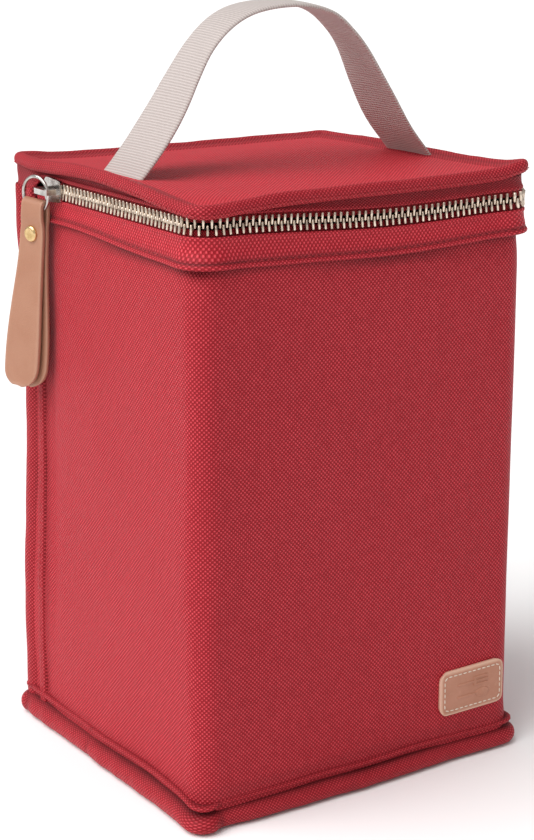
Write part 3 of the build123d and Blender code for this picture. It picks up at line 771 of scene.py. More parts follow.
# ---------------------------------------------------------------- body
@dataclass
class Body:
    """Walls of the bag: the cloth that wraps round the front, the back, and the seams."""

    finishes: Finishes
    low: float = 3.0
    top: float = 200.6
    pillow: float = 0.6
    hem_pitch: float = 2.9
    hem_stitch: Size = (2.1, 0.42, 0.36)
    upright_reach: float = 16.5  # from the corner to a rear seam's free edge
    upright_span: float = 13.4  # from the corner to its stitches
    upright_low: float = 14.0  # height of the first of them
    upright_pitch: float = 3.05
    upright_count: int = 64
    upright_stitch: Size = (2.2, 0.42, 0.36)

    def wall_out(self, x: float, y: float, z: float) -> float:
        """How far the cloth stands off its flat place, from its foam and its creases."""
        face_x, face_y = abs(x) / FACE_X, abs(y) / FACE_Y
        lateral = face_y if face_x > face_y else face_x
        span = max(0.0, 1 - lateral**4) * max(0.0, 1 - abs((z - 106) / 104) ** 5)
        place = (x, y, z)
        waves = 0.75 * rumple(place, 52, 1) + 0.22 * rumple(place, 17, 2)
        crease = -0.7 * swell(y, 40.5, 3.0) * smooth(20, 60, z) if x < -60 else 0.0
        near = math.hypot(x + 68, y + 63)
        crease -= smooth(186, 201, z) + 3.4 * smooth(190.5, 199, z) * swell(near, 0, 6)
        corner = 1 - 0.75 * smooth(0.86, 1.0, lateral)
        return self.pillow * span + waves * corner + crease + 0.9 * swell(z, 9, 4.5)

    def wrap(self) -> None:
        """Front and sides, one piece of cloth."""
        columns = WALLS.stations(WALLS.on_left(60), WALLS.on_right(60), 3.4, 8)
        rows = spread(self.low, self.top, 3.4)

        def place(mark: float, z: float) -> Vector:
            """Place of the cloth."""
            point, normal = WALLS.at(mark)
            spot = point + normal * self.wall_out(point.x, point.y, z) + Vector((0, 0, z))
            return spot + lean(spot)

        def shade(mark: float, z: float) -> float:
            """Painted shade, darker right beside the seams, under the band's edge and just above the floor
            seam.
            """
            point, _ = WALLS.at(mark)
            by_seam = swell(point.y, REAR_STRIP_Y - 0.6, 1.2) if abs(point.x) > 60 else 0.0
            under_band = 1.4 * smooth(2.6, 0.4, band_edge(point.x, point.y) - z)
            return 0.5 * max(by_seam, under_band, swell(z, 11.5, 1.6))

        cloth = woven_grid("body_cloth", columns, rows, place, shade=shade)
        dress(cloth, self.finishes.shell, "bag_body", ["wrap_panel"], 0.8, 1)

    def back_spot(self, x: float, z: float) -> Vector:
        """Place of the back cloth; x runs towards -X so that it faces back."""
        span = max(0.0, 1 - (abs(x) / 66) ** 4) * max(0.0, 1 - abs((z - 106) / 104) ** 5)
        waves = 0.6 * rumple((x, 62, z), 50, 3) * (1 - smooth(190, 205, z))
        drawn = 1.9 * smooth(212, 196, z)
        spot = Vector((-x, FACE_Y + drawn + self.pillow * span + waves, z))
        return spot + lean(spot) * smooth(213, 200, z)

    def back_pad(self) -> None:
        """Foam behind the back cloth, which leans with it."""
        columns, rows = spread(-60, 60, 6), spread(8, 203, 6)
        pad = woven_grid("back_pad", columns, rows, lambda x, z: self.back_spot(x, z) - Vector((0, 1.3, 0)))
        dress(pad, self.finishes.foam, "bag_body", ["foam_back"], 2.4, 1)

    def back(self) -> None:
        """Back cloth, which runs on up as the lid's fabric hinge."""
        rows = spread(self.low, 198, 4.5) + spread(199.5, 218, 1.5)
        cloth = woven_grid("back_cloth", spread(-66, 66, 4.4), rows, self.back_spot)
        dress(cloth, self.finishes.shell, None, ["back_panel", "lid_rear_strip"], 0.8, 1)
        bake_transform(cloth)

    def base_height(self, x: float, y: float) -> float:
        """Height of the seam round the floor: tall on the left, lower along the front."""
        tall = 12.8 if x < -68 else 10.8 + 2.0 * smooth(-48, -68, x)
        tall -= 3.4 * swell(math.hypot(x + 70, y + 65), 0, 10)
        return tall + 0.8 * rumple((x, y, 0), 23, 4)

    def base_crease(self, mark: float) -> float:
        """Mitre folds at the two left corners and small tucks where the roll is gathered."""
        near, _, _, rear = corner_marks(SHELL)
        folds = ((near + 5.2, 0.9), (rear + 5.0, 1.0), (rear - 1.0, 0.7), (near - 74, 0.55), (near + 61, 0.4))
        return max(size * swell(round_gap(SHELL, mark, place), 0, 1.15) for place, size in folds)

    def base_rows(self, mark: float) -> Rows:
        """Section of the seam round the floor, with its hem, valley and fat roll."""
        point, _ = SHELL.at(mark)
        height = self.base_height(point.x, point.y)
        wave = 0.75 * rumple((point.x, point.y, 5), 15, 5) + 0.35 * rumple((point.x, point.y, 5), 5.5, 6)
        corner = swell(round_gap(SHELL, mark, corner_marks(SHELL)[0]), 0, 3.4)
        bow = 1.7 * smooth(-60, -69, point.x) + 2.1 * swell(point.x, -12, 44) * smooth(-55, -64, point.y)
        wave += 1.5 * corner + bow - 1.1 * self.base_crease(mark)
        roll = [(-9.0, 0.0), (-4.5, 0.0), (-0.8, 0.01), (1.4, 0.05), (2.6, 0.16), (3.0, 0.32), (2.7, 0.48)]
        valley = [(1.7, 0.6), (0.3, 0.67), (-0.7, 0.72), (-0.4, 0.77), (1.0, 0.81)]
        section = roll + valley + [(1.6, 0.88), (1.4, 0.95), (0.5, 1.0), (-0.6, 0.96)]
        lively = [0, 0.2, 0.5, 0.9, 1, 1, 1, 0.8, 0.5, 0.4, 0.4, 0.4, 0.4, 0.4, 0.2, 0]
        return [(out + wave * move, part * height) for (out, part), move in zip(section, lively)]

    def base_seam(self) -> None:
        """Bound seam round the floor."""
        marks = SHELL.stations(0, SHELL.length(), 1.9, 8)
        # painted shade: darker in the valley between hem and roll, at the hem's top edge, and in the creases
        row_shade = (0, 0, 0, 0, 0, 0, 0, 0.25, 0.8, 1.0, 0.7, 0.1, 0, 0.1, 0.5, 1.0)
        strip = Roll(SHELL, marks, self.base_rows, row_shade, True, lambda m: 0.7 * self.base_crease(m))
        seam = strip.build("base_seam_roll")
        dress(seam, self.finishes.seam, "bag_body", ["base_seam"], 0, 1)
        SHELL.length() * MM
        spots = [0.5 + k * self.hem_pitch for k in range(int(SHELL.length() / self.hem_pitch))]

        def row(mark: float) -> tuple[float, float]:
            """Line of the hem's stitches."""
            point, _ = SHELL.at(mark)
            out = 1.5 + 0.3 * rumple((point.x, point.y, 5), 15, 5)
            return out, self.base_height(point.x, point.y) * 0.905

        sewn = stitch_row("base_seam_stitches", SHELL, spots, row, self.hem_stitch)
        dress(sewn, self.finishes.thread, "bag_body")

    def rear_rows(self, span: float, z: float) -> float:
        """How far a rear seam stands out.

        Args:
            span: Distance from the corner along either face.
            z: Height.

        Returns:
            The distance off the shell.
        """
        roll = 1.5 * smooth(7.8, 3.4, span)
        hem = 1.3 * smooth(16.3, 15.4, span) * smooth(9.4, 11.2, span)
        flat = 0.3 * smooth(16.4, 15.6, span)
        wave = 0.35 * rumple((span * 2, 0, z), 21, 7) + 0.2 * rumple((span * 2, 3, z), 7, 8)
        return roll + hem + flat - 0.6 * swell(span, 8.4, 1.4) + wave * smooth(17, 14, span)

    def rear_seams(self) -> None:
        """Upright seams at the two back corners, with their stitches."""
        turn = math.pi * SHELL.rear_r / 2
        middle_left = SHELL.length() - turn / 2
        middle_right = SHELL.on_right(FACE_Y - SHELL.rear_r) + turn / 2
        spans = [0.6, 1.6, 2.9, 4.6, 6.2, 7.4, 8.4, 9.4, 10.4, 11.6, 13, 14.5, 15.5, 16.2, 16.7]
        spans = [-s for s in reversed(spans)] + spans
        for side, middle in (("left", middle_left), ("right", middle_right)):
            def place(mark: float, z: float) -> Vector:
                """Place of the strip."""
                point, normal = SHELL.at(mark + middle)
                out = self.rear_rows(abs(mark), z)
                spot = point + normal * (out if abs(mark) < self.upright_reach else -0.25) + Vector((0, 0, z))
                return spot + lean(spot)

            def shade(mark: float, _: float) -> float:
                """Painted shade, darker in the valley and at the free edge."""
                return min(1.0, 0.8 * swell(abs(mark), 8.6, 1.1) + 0.9 * smooth(15.9, 16.5, abs(mark)))

            heights = spread(8, 210.6, 4.2)
            strip = woven_grid(f"rear_seam_{side}_roll", spans, heights, place, shade=shade)
            dress(strip, self.finishes.seam, "bag_body", [f"rear_seam_{side}"], 0.5, 1)
            places = []
            for k in range(self.upright_count):
                z = self.upright_low + k * self.upright_pitch
                for offset in (-self.upright_span, self.upright_span):
                    point, normal = SHELL.at(middle + offset)
                    spot = point + normal * (self.rear_rows(self.upright_span, z) + 0.02) + Vector((0, 0, z))
                    spot += lean(spot)
                    places.append(set_frame(spot, Vector((0, 0, 1)), normal))
            sewn = beads(f"rear_seam_{side}_stitches", places, self.upright_stitch)
            dress(sewn, self.finishes.thread, "bag_body")

    def build(self) -> None:
        """Builds the walls and their seams."""
        self.wrap()
        self.back_pad()
        self.back()
        self.base_seam()
        self.rear_seams()


# ---------------------------------------------------------------- zip
@dataclass
class Zip:
    """The band under the zip, its tapes and its two rows of teeth."""

    finishes: Finishes
    pitch: float = 2.5
    start_y: float = 34.5
    end_y: float = 45.0
    tooth: Size = (3.6, 0.95, 2.3)
    tooth_up: float = 1.12  # middle of a tooth from the middle of the zip
    stitch_pitch: float = 2.7
    stitch: Size = (2.05, 0.42, 0.4)

    def centre(self, mark: float) -> float:
        """Height of the middle of the zip at a distance along it."""
        point, _ = ZIP_PLAN.at(mark)
        return ZIP_Z + zip_dip(point.x, point.y)

    def band_low(self, mark: float) -> float:
        """Height of the band's lower edge."""
        point, _ = ZIP_PLAN.at(mark)
        return band_edge(point.x, point.y)

    def band_rows(self, mark: float) -> Rows:
        """Section of the band with its stitched lower edge and rolled upper edge."""
        low, top = self.band_low(mark), self.centre(mark) - 3.5
        wave = 0.22 * rumple((mark, 0, 0), 16, 10)
        push = 1.7 * swell(round_gap(ZIP_PLAN, mark, corner_marks(ZIP_PLAN)[0]), 0, 9)
        rows = [(0.4, 0.9), (1.5, -0.1), (2.6, 0.0), (3.0, 0.7), (2.7, 1.5), (1.75, 2.1), (2.2, 2.9)]
        rows = [(out + push, low + up) for out, up in rows]
        body = [(2.0 - 0.9 * part + wave, low + (top - low) * part) for part in (0.5, 0.7, 0.84)]
        roll = [(1.5, -1.1), (1.75, -0.5), (1.45, 0.1), (0.8, 0.2), (0.2, -0.5), (-0.3, -2.0)]
        return rows + body + [(out, top + up) for out, up in roll]

    def band(self) -> None:
        """Facing band with its topstitch."""
        start, end = ZIP_PLAN.on_left(TAPE_END_Y), ZIP_PLAN.on_right(TAPE_END_Y)
        marks = ZIP_PLAN.stations(start, end, 2.8, 8)
        # painted shade: darker at the band's lower edge and hem, and where its top rolls under the teeth
        row_shade = (1, 1, 0.45, 0, 0.2, 0.85, 0.2, 0, 0, 0, 0, 0, 0.1, 0.4, 0.8, 1)
        band = Roll(ZIP_PLAN, marks, self.band_rows, row_shade).build("zip_band_roll")
        # painted light: the band wears the lighter copy of the red cloth
        dress(band, self.finishes.band, "bag_body", ["zip_band"], 0, 1)
        (end - start) * MM
        count = int((end - start - 2) / self.stitch_pitch)
        spots = [start + 1.5 + k * self.stitch_pitch for k in range(count)]

        def line(mark: float) -> tuple[float, float]:
            """Line of the stitches above the hem."""
            return 1.95, self.band_low(mark) + 2.1

        sewn = stitch_row("zip_band_stitches", ZIP_PLAN, spots, line, self.stitch)
        dress(sewn, self.finishes.thread, "bag_body")

    def tapes(self) -> None:
        """Both tapes, woven close, behind the teeth."""
        start, end = ZIP_PLAN.on_left(TAPE_END_Y), ZIP_PLAN.on_right(TAPE_END_Y)
        marks = ZIP_PLAN.stations(start, end, 4, 8)

        def lower(mark: float) -> Rows:
            """Section of the lower tape, which passes down behind the band."""
            middle = self.centre(mark)
            return [(-0.9, middle - 12), (-0.9, middle - 8), (0.1, middle - 5), (0.15, middle - 1.3)]

        def upper(mark: float) -> Rows:
            """Section of the upper tape, sewn in under the lid's cloth."""
            middle = self.centre(mark)
            return [(0.15, middle + 1.3), (0.1, middle + 3.5), (0.0, 216.6), (-0.6, 217.1), (-3.0, 217.2)]

        size = ((end - start) * MM, 0.0105)
        for rows, name, body in ((lower, "lower", "bag_body"), (upper, "upper", "lid")):
            tape = Roll(ZIP_PLAN, marks, rows).build(f"tape_{name}")
            # painted shade: the tapes wear the darkened red
            dress(tape, self.finishes.tape, body, [f"zip_tape_{name}"], 0.7)

    def row(self, name: str, shift: float, up: float, body: str) -> None:
        """One row of teeth.

        Args:
            name: CAD node that the row stands for.
            shift: Offset of the first tooth along the zip.
            up: 1 for the upper row and -1 for the lower one.
            body: Body that the row rides on.
        """
        start, end = ZIP_PLAN.on_left(self.start_y) + shift, ZIP_PLAN.on_right(self.end_y)
        mesh = bmesh.new()
        for k in range(int((end - start) / self.pitch) + 1):
            mark = start + k * self.pitch
            point, normal = ZIP_PLAN.at(mark)
            middle = point + normal * 0.45 + Vector((0, 0, self.centre(mark) + up * self.tooth_up))
            spot = set_frame(middle, Vector((0, 0, up)), normal)
            made = bmesh.ops.create_cube(mesh, size=1, matrix=Matrix.Diagonal((*self.tooth, 1)))
            nose = [v for v in made["verts"] if v.co.x < 0]
            bmesh.ops.scale(mesh, vec=(1, 0.78, 0.72), verts=nose)
            bmesh.ops.transform(mesh, matrix=spot, verts=made["verts"])
        bevel(mesh, 0.25, 1)
        bmesh.ops.scale(mesh, vec=(MM, MM, MM), verts=mesh.verts)
        teeth = close_mesh(mesh, name.replace("zip_teeth", "teeth_row"))
        dress(teeth, self.finishes.zip, body, [name])

    def build(self) -> None:
        """Builds the zip."""
        self.band()
        self.tapes()
        self.row("zip_teeth_lower", 0.0, -1, "bag_body")
        self.row("zip_teeth_upper", self.pitch / 2, 1, "lid")


# ---------------------------------------------------------------- lid
@dataclass
class Lid:
    """Lid: its top cloth, its rolled edge, the facing over the zip and the lining."""

    finishes: Finishes
    zip: Zip
    edge_z: float = LID_Z
    stitch_pitch: float = 2.8
    stitch: Size = (2.0, 0.4, 0.36)
    pad_sink: float = 1.3  # the foam's upper face below the cloth's
    facing_low_z: float = 210.0  # its lower edge at the back corners

    def pinch(self, x: float, y: float) -> Vector:
        """Inward pull of the edge at the near corner and at the back left corner."""
        near = swell(math.hypot(x + FACE_X, y + FACE_Y), 0, 12)
        rear = swell(math.hypot(x + FACE_X, y - FACE_Y), 0, 10)
        return Vector((2.6, 1.6, 0)) * near + Vector((1.2, -0.6, 0)) * rear

    def draw_in(self, piece: bpy.types.Object) -> None:
        """Pulls a piece of the edge in at those corners."""
        for vertex in piece.data.vertices:
            vertex.co += self.pinch(vertex.co.x / MM, vertex.co.y / MM) * MM

    def ridge_rows(self, mark: float) -> Rows:
        """Section of the rolled edge."""
        point, normal = SHELL.at(mark)
        lift = lid_lift(point.x, point.y)
        wave = 0.3 * rumple((*point.xy, 1), 13, 11) + 0.14 * rumple((*point.xy, 1), 5, 12)
        z = self.edge_z + lift
        under = [(-2.8, z - 1.0), (-1.0, z - 2.1), (0.3, z - 2.2), (1.2 + wave, z - 1.4)]
        side = [(1.6 + wave, z - 0.2), (1.5 + wave, z + 1.2), (0.9 + wave, z + 2.2)]
        over = [(-0.1 + wave, z + 2.7 + wave), (-1.3, z + 2.5 + wave), (-2.3, z + 1.8)]
        inner = []
        for out, up in ((-3.1, 0.9), (-4.4, 0.65), (-6.4, 0.35), (-8.6, -1.0)):
            place = point + normal * out
            inner.append((out, top_z(place.x, place.y) + up))
        return under + side + over + inner

    def ridge(self) -> None:
        """Rolled edge all the way round, with its stitches."""
        marks = SHELL.stations(0, SHELL.length(), 2.2, 8)
        # painted shade: darker on the underside of the rolled edge and where it meets the top
        row_shade = (1, 0.7, 0.2, 0, 0, 0, 0, 0, 0, 0.15, 0.4, 0.1, 0, 0)
        edge = Roll(SHELL, marks, self.ridge_rows, row_shade, True).build("lid_edge_roll")
        self.draw_in(edge)
        dress(edge, self.finishes.seam, "lid", ["lid_seam"], 0, 1)
        SHELL.length() * MM
        spots = [k * self.stitch_pitch for k in range(int(SHELL.length() / self.stitch_pitch))]

        def row(mark: float) -> tuple[float, float]:
            """Line of the stitches in the roll's side."""
            point, _ = SHELL.at(mark)
            out = 1.62 + 0.3 * rumple((*point.xy, 1), 13, 11)
            return out, self.edge_z + lid_lift(point.x, point.y) - 0.7

        sewn = stitch_row("lid_edge_stitches", SHELL, spots, row, self.stitch)
        self.draw_in(sewn)
        dress(sewn, self.finishes.thread, "lid")

    def cloth(self) -> None:
        """Top of the lid, soft over its foam."""
        def place(x: float, y: float) -> Vector:
            """Place of the cloth."""
            return Vector((x, y, top_z(x, y))) + self.pinch(x, y)

        cloth = woven_grid("lid_cloth", spread(-66.6, 66.6, 3.4), spread(-61.6, 61.6, 3.4), place)
        # painted light: the top wears the brighter copy of the red cloth
        dress(cloth, self.finishes.top, "lid", ["lid_panel"], 0.8, 1)

    def pad(self) -> None:
        """Foam under the top cloth, which follows its shape."""
        def place(x: float, y: float) -> Vector:
            """Place of the pad's upper face."""
            return Vector((x, y, top_z(x, y) - self.pad_sink)) + self.pinch(x, y)

        pad = woven_grid("lid_pad", spread(-63.2, 63.2, 6), spread(-58.2, 58.2, 6), place)
        dress(pad, self.finishes.foam, "lid", ["lid_foam"], 2.6, 1)

    def skirt_rows(self, mark: float) -> Rows:
        """Section of the facing between the upper teeth and the rolled edge."""
        point, _ = ZIP_PLAN.at(mark)
        rear = smooth(REAR_STRIP_Y - 1.2, REAR_STRIP_Y, point.y)
        low = (self.zip.centre(mark) + 3.2) * (1 - rear) + self.facing_low_z * rear
        out = 2.5 * rear
        hem = [(-0.5, 1.4), (-0.1, 0.1), (0.6, 0.0), (0.95, 0.5), (0.8, 1.1), (0.4, 1.7)]
        rows = [(out + shift, low + up) for shift, up in hem]
        return rows + [(out + 0.1, 215.6), (out * 0.8 + 0.1, 217.6)]

    def skirt(self) -> None:
        """Facing over the zip, which closes the back corners too."""
        start = ZIP_PLAN.length() - 12
        turn = math.pi * ZIP_PLAN.rear_r / 2
        end = ZIP_PLAN.length() + ZIP_PLAN.on_right(FACE_Y - ZIP_PLAN.rear_r) + turn + 9
        marks = ZIP_PLAN.stations(start, end, 2.6, 8)
        # painted shade: the facing is darkest at its lower hem and stays shaded up under the rolled edge
        row_shade = (1, 0.8, 0.3, 0.1, 0.25, 0.4, 0.5, 0.6)
        facing = Roll(ZIP_PLAN, marks, self.skirt_rows, row_shade).build("lid_facing")
        for vertex in facing.data.vertices:
            spot = vertex.co / MM
            vertex.co += lean(spot) * smooth(217.5, 211.5, spot.z) * MM
        dress(facing, self.finishes.seam, "lid", (), 0, 1)
        wide, cut = (end - start) * MM, 0.0105
        wide * 0.007

    def lining(self) -> None:
        """Film under the lid, puffed between its edges."""
        def place(x: float, y: float) -> Vector:
            """Place of the film, facing down; columns run towards -X."""
            inset = min(63.5 - abs(x), 58.5 - abs(y))
            puff = smooth(0, 14, inset) * (0.5 + 0.35 * rumple((x, y, 0), 16, 15))
            return Vector((-x, y, 213.1 - puff))

        film = woven_grid("lid_film", spread(-63.5, 63.5, 5), spread(-58.5, 58.5, 5), place)
        dress(film, self.finishes.film, "lid", ["lid_lining"], 0.4, 1)

    def build(self) -> None:
        """Builds the lid."""
        self.ridge()
        self.cloth()
        self.pad()
        self.skirt()
        self.lining()


# ---------------------------------------------------------------- handle
@dataclass
class Handle:
    """Webbing arch, sewn down inside the rolled edge at both sides of the lid."""

    finishes: Finishes
    width: float = 27.0
    thickness: float = 1.5
    skew: float = 5.5
    stops: tuple[tuple[float, float], ...] = (
        (-63, 216.2), (-60.3, 219.2), (-56.8, 222.8), (-49, 232), (-41, 243.2), (-34.7, 253.4),
        (-28.6, 262.4), (-21, 269.6), (-12, 274.2), (0, 276.3), (12, 276.1), (24, 272.9),
        (33.2, 265.6), (39, 258.5), (46.7, 244.9), (55.2, 230.9), (65.8, 218.4), (67.8, 216),
    )

    def line(self) -> list[Vector]:
        """Middle of the webbing, a smooth curve through its stops."""
        knots = [Vector((x, 0, z)) for x, z in self.stops]
        line = [knots[0]]
        for k in range(len(knots) - 1):
            before, after = knots[max(k - 1, 0)], knots[min(k + 2, len(knots) - 1)]
            first, last = knots[k], knots[k + 1]
            reach = (last - first).length / 3
            leave = first + (last - before).normalized() * reach
            arrive = last - (after - first).normalized() * reach
            steps = max(3, math.ceil((last - first).length / 2.4) + 1)
            line += interpolate_bezier(first, leave, arrive, last, steps)[1:]
        return line

    def build(self) -> None:
        """Builds the arch."""
        line = self.line()
        along = [0.0]
        for low, high in zip(line, line[1:]):
            along.append(along[-1] + (high - low).length)
        where = {distance: k for k, distance in enumerate(along)}

        def place(y: float, distance: float) -> Vector:
            """Place on the webbing; it cups a little across its width and its edges wander."""
            k = where[distance]
            run = (line[min(k + 1, len(line) - 1)] - line[max(k - 1, 0)]).normalized()
            out = Vector((-run.z, 0, run.x))
            cup = -0.5 * (2 * y / self.width) ** 2 + 0.25 * rumple((distance, y, 0), 30, 16)
            edge = 0.25 * rumple((distance, 0, 0), 22, 17)
            skew = self.skew * smooth(233, 268, line[k].z) * -y / self.width
            return line[k] + out * cup + Vector((skew, edge - y, 0))

        strap = woven_grid("handle_strap", spread(-self.width / 2, self.width / 2, 2.25), along, place)
        names = ["handle_webbing", "handle_end_left", "handle_end_right"]
        dress(strap, self.finishes.webbing, None, names, self.thickness, 1, 0.0)
        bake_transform(strap)


# ---------------------------------------------------------------- leather
@dataclass
class Pull:
    """Leather strip folded through the ring, its two leaves riveted and a little splayed."""

    finishes: Finishes
    ring: Vector = Vector((-73.964, 37.652, 209.6))
    ring_along: Vector = Vector((0.2756, -0.9613, 0))
    ring_out: Vector = Vector((-0.9613, -0.2756, 0))
    tilt: float = math.radians(4)
    parting: float = 0.95  # of each leaf from the middle, where the rivet holds them
    fold_r: float = 1.6
    fold_drop: float = 3.9
    leaf: float = 1.6
    length: float = 68.7
    fine: float = 12.0  # length below the fold that is cut finely

    def edges(self, depth: float) -> tuple[float, float]:
        """Back and front edge of a leaf at a depth below the fold."""
        half = 5.2 + 0.8 * smooth(0, 13, depth) + 2.75 * smooth(12, 58, depth)
        left = self.length - depth
        trims = [r - math.sqrt(max(0.0, r * r - (r - min(left, r)) ** 2)) for r in (5.5, 9.0)]
        return -half + trims[0], half - trims[1]

    def build(self) -> None:
        """Builds the strip."""
        turn = Matrix.Rotation(-self.tilt, 3, self.ring_out)
        across, down = turn @ self.ring_along, turn @ Vector((0, 0, -1))
        top = self.ring + down * self.fold_drop
        quarter = math.pi * self.fold_r / 2
        rows = spread(-quarter - self.length, -quarter - self.fine, 2.0)[:-1]
        rows += spread(-quarter - self.fine, -quarter, 1.2)[:-1] + spread(-quarter, quarter, 0.6)
        rows += [-r for r in reversed(rows) if -r > quarter + 1e-6]
        tail = [self.length - t for t in (0.0, 0.35, 0.9, 1.7, 2.8, 4.2)]
        rows = sorted({*rows, *(quarter + t for t in tail), *(-quarter - t for t in tail)})

        def place(part: float, distance: float) -> Vector:
            """Place on the strip: part runs from its back edge to its front edge."""
            depth = max(0.0, abs(distance) - quarter)
            side = -1.0 if distance > 0 else 1.0
            back, front = self.edges(depth)
            u = back + (front - back) * (part + 1) / 2
            if depth == 0:
                angle = distance / self.fold_r
                out, low = -math.sin(angle) * self.fold_r, -math.cos(angle) * self.fold_r
            else:
                gap = self.parting + (self.fold_r - self.parting) * smooth(8.5, 3.4, depth)
                splay = 0.8 * smooth(14, 68, depth) + 0.25 * swell(depth, 36, 14)
                out, low = side * gap + (splay if side > 0 else 0.0), depth
                u += 1.6 * smooth(6, 60, depth) if side < 0 else -0.4 * smooth(6, 60, depth)
            bend = 0.5 * math.sin(depth / self.length * math.pi) - 0.35 * (part**2) * smooth(15, 50, depth)
            u -= 4.0 * smooth(4, 78, depth)
            return top + across * u + down * low + self.ring_out * (out + bend * 0.6)

        def shade(part: float, distance: float) -> float:
            """Worn rim."""
            depth = max(0.0, abs(distance) - quarter)
            end = smooth(2.2, 0.2, self.length - depth)
            return 0.75 * max(smooth(0.84, 1.0, abs(part)), end)

        parts = [-1, -0.93, -0.8, -0.6, -0.3, 0, 0.3, 0.6, 0.8, 0.93, 1]
        strip = woven_grid("pull_strip", parts, rows, place, shade=shade)
        dress(strip, self.finishes.leather, "pull", ["leather_pull"], self.leaf, 1, 0.0)


@dataclass
class Label:
    """Leather label with a pressed fork and spoon and a row of cream stitches."""

    finishes: Finishes
    x: float = 48.3
    z: float = 27.6
    width: float = 30.0
    height: float = 17.5
    radius: float = 3.6
    face_y: float = -66.55
    tilt: float = math.radians(0.8)
    stitch_inset: float = 2.0
    stitch_r: float = 2.0
    stitch_count: int = 34
    stitch: Size = (1.75, 0.52, 0.5)

    def spot(self, u: float, v: float, out: float) -> Vector:
        """Place on the label, u to the right and v up from its middle."""
        x = u * math.cos(self.tilt) - v * math.sin(self.tilt)
        z = u * math.sin(self.tilt) + v * math.cos(self.tilt)
        crown = 0.12 * (2 * u / self.width) ** 2
        return Vector((self.x + x, self.face_y - out + crown, self.z + z))

    def plate(self) -> None:
        """The leather itself, crowned towards its rim."""
        half_w, half_h = self.width / 2, self.height / 2

        def place(part: float, v: float) -> Vector:
            """Place on the leather; the corners are rounded."""
            left = half_h - abs(v)
            r = self.radius
            trim = r - math.sqrt(max(0.0, r * r - (r - min(left, r)) ** 2))
            u = part * (half_w - trim)
            rim = min(half_w - abs(u), left)
            return self.spot(u, v, 0.25 - 0.5 * smooth(1.4, 0.0, rim) - 0.12 * swell(rim, 2.0, 0.5))

        def shade(part: float, v: float) -> float:
            """Paler along the rim."""
            rim = min((1 - abs(part)) * half_w, half_h - abs(v))
            return 0.85 * smooth(1.5, 0.3, rim)

        ends = [0.82, 0.865, 0.91, 0.955, 0.985, 1]
        parts = [*(-end for end in reversed(ends)), *spread(-0.75, 0.75, 0.1), *ends]
        edge = [half_h - t for t in (0.0, 0.12, 0.35, 0.7, 1.2, 1.7, 2.1, 2.6, 3.4)]
        rows = sorted({*edge, *(-t for t in edge), *spread(-4.5, 4.5, 0.9)})
        plate = woven_grid("label_plate", parts, rows, place, shade=shade)
        dress(plate, self.finishes.label, "bag_body", ["leather_label"], 1.5, 1)

    def stitches(self) -> None:
        """Cream running stitches inside the rim."""
        half_w, half_h = self.width / 2 - self.stitch_inset, self.height / 2 - self.stitch_inset
        outline = Plan(half_w, half_h, self.stitch_r, self.stitch_r)
        step = outline.length() / self.stitch_count
        places = []
        for k in range(self.stitch_count):
            mark = (k + 0.3) * step
            point, _ = outline.at(mark)
            ahead, _ = outline.at(mark + 0.2)
            run = self.spot(ahead.x, ahead.y, 0) - self.spot(point.x, point.y, 0)
            places.append(set_frame(self.spot(point.x, point.y, 0.2), run, Vector((0, -1, 0))))
        sewn = beads("label_thread", places, self.stitch)
        dress(sewn, self.finishes.cream, "bag_body", ["label_stitches"])

    def motif(self) -> None:
        """A small fork and spoon, standing up from the leather."""
        mesh = bmesh.new()
        run = self.spot(1, 0, 0) - self.spot(0, 0, 0)
        spoon, fork = -2.5, 2.5
        bars = [(-2.4, spoon, 9.4, 0.9), (-3.2, fork, 7.8, 0.9), (1.0, fork, 1.3, 3.7)]
        bars += [(4.2, fork + shift, 5.8, 0.7) for shift in (-1.5, 0.0, 1.5)]
        for u, v, long, wide in bars:
            spot = set_frame(self.spot(u, v, 0.3), run, Vector((0, -1, 0)))
            bmesh.ops.create_cube(mesh, size=1, matrix=spot @ Matrix.Diagonal((long, wide, 0.5, 1)))
        bevel(mesh, 0.15, 2)
        bowl = set_frame(self.spot(4.4, spoon, 0.26), run, Vector((0, -1, 0)))
        shape = bowl @ Matrix.Diagonal((3.4, 1.9, 0.36, 1))
        bmesh.ops.create_uvsphere(mesh, u_segments=16, v_segments=8, radius=1, matrix=shape)
        bmesh.ops.scale(mesh, vec=(MM, MM, MM), verts=mesh.verts)
        dress(close_mesh(mesh, "label_motif"), self.finishes.label, "bag_body")

    def build(self) -> None:
        """Builds the label."""
        self.plate()
        self.stitches()
        self.motif()


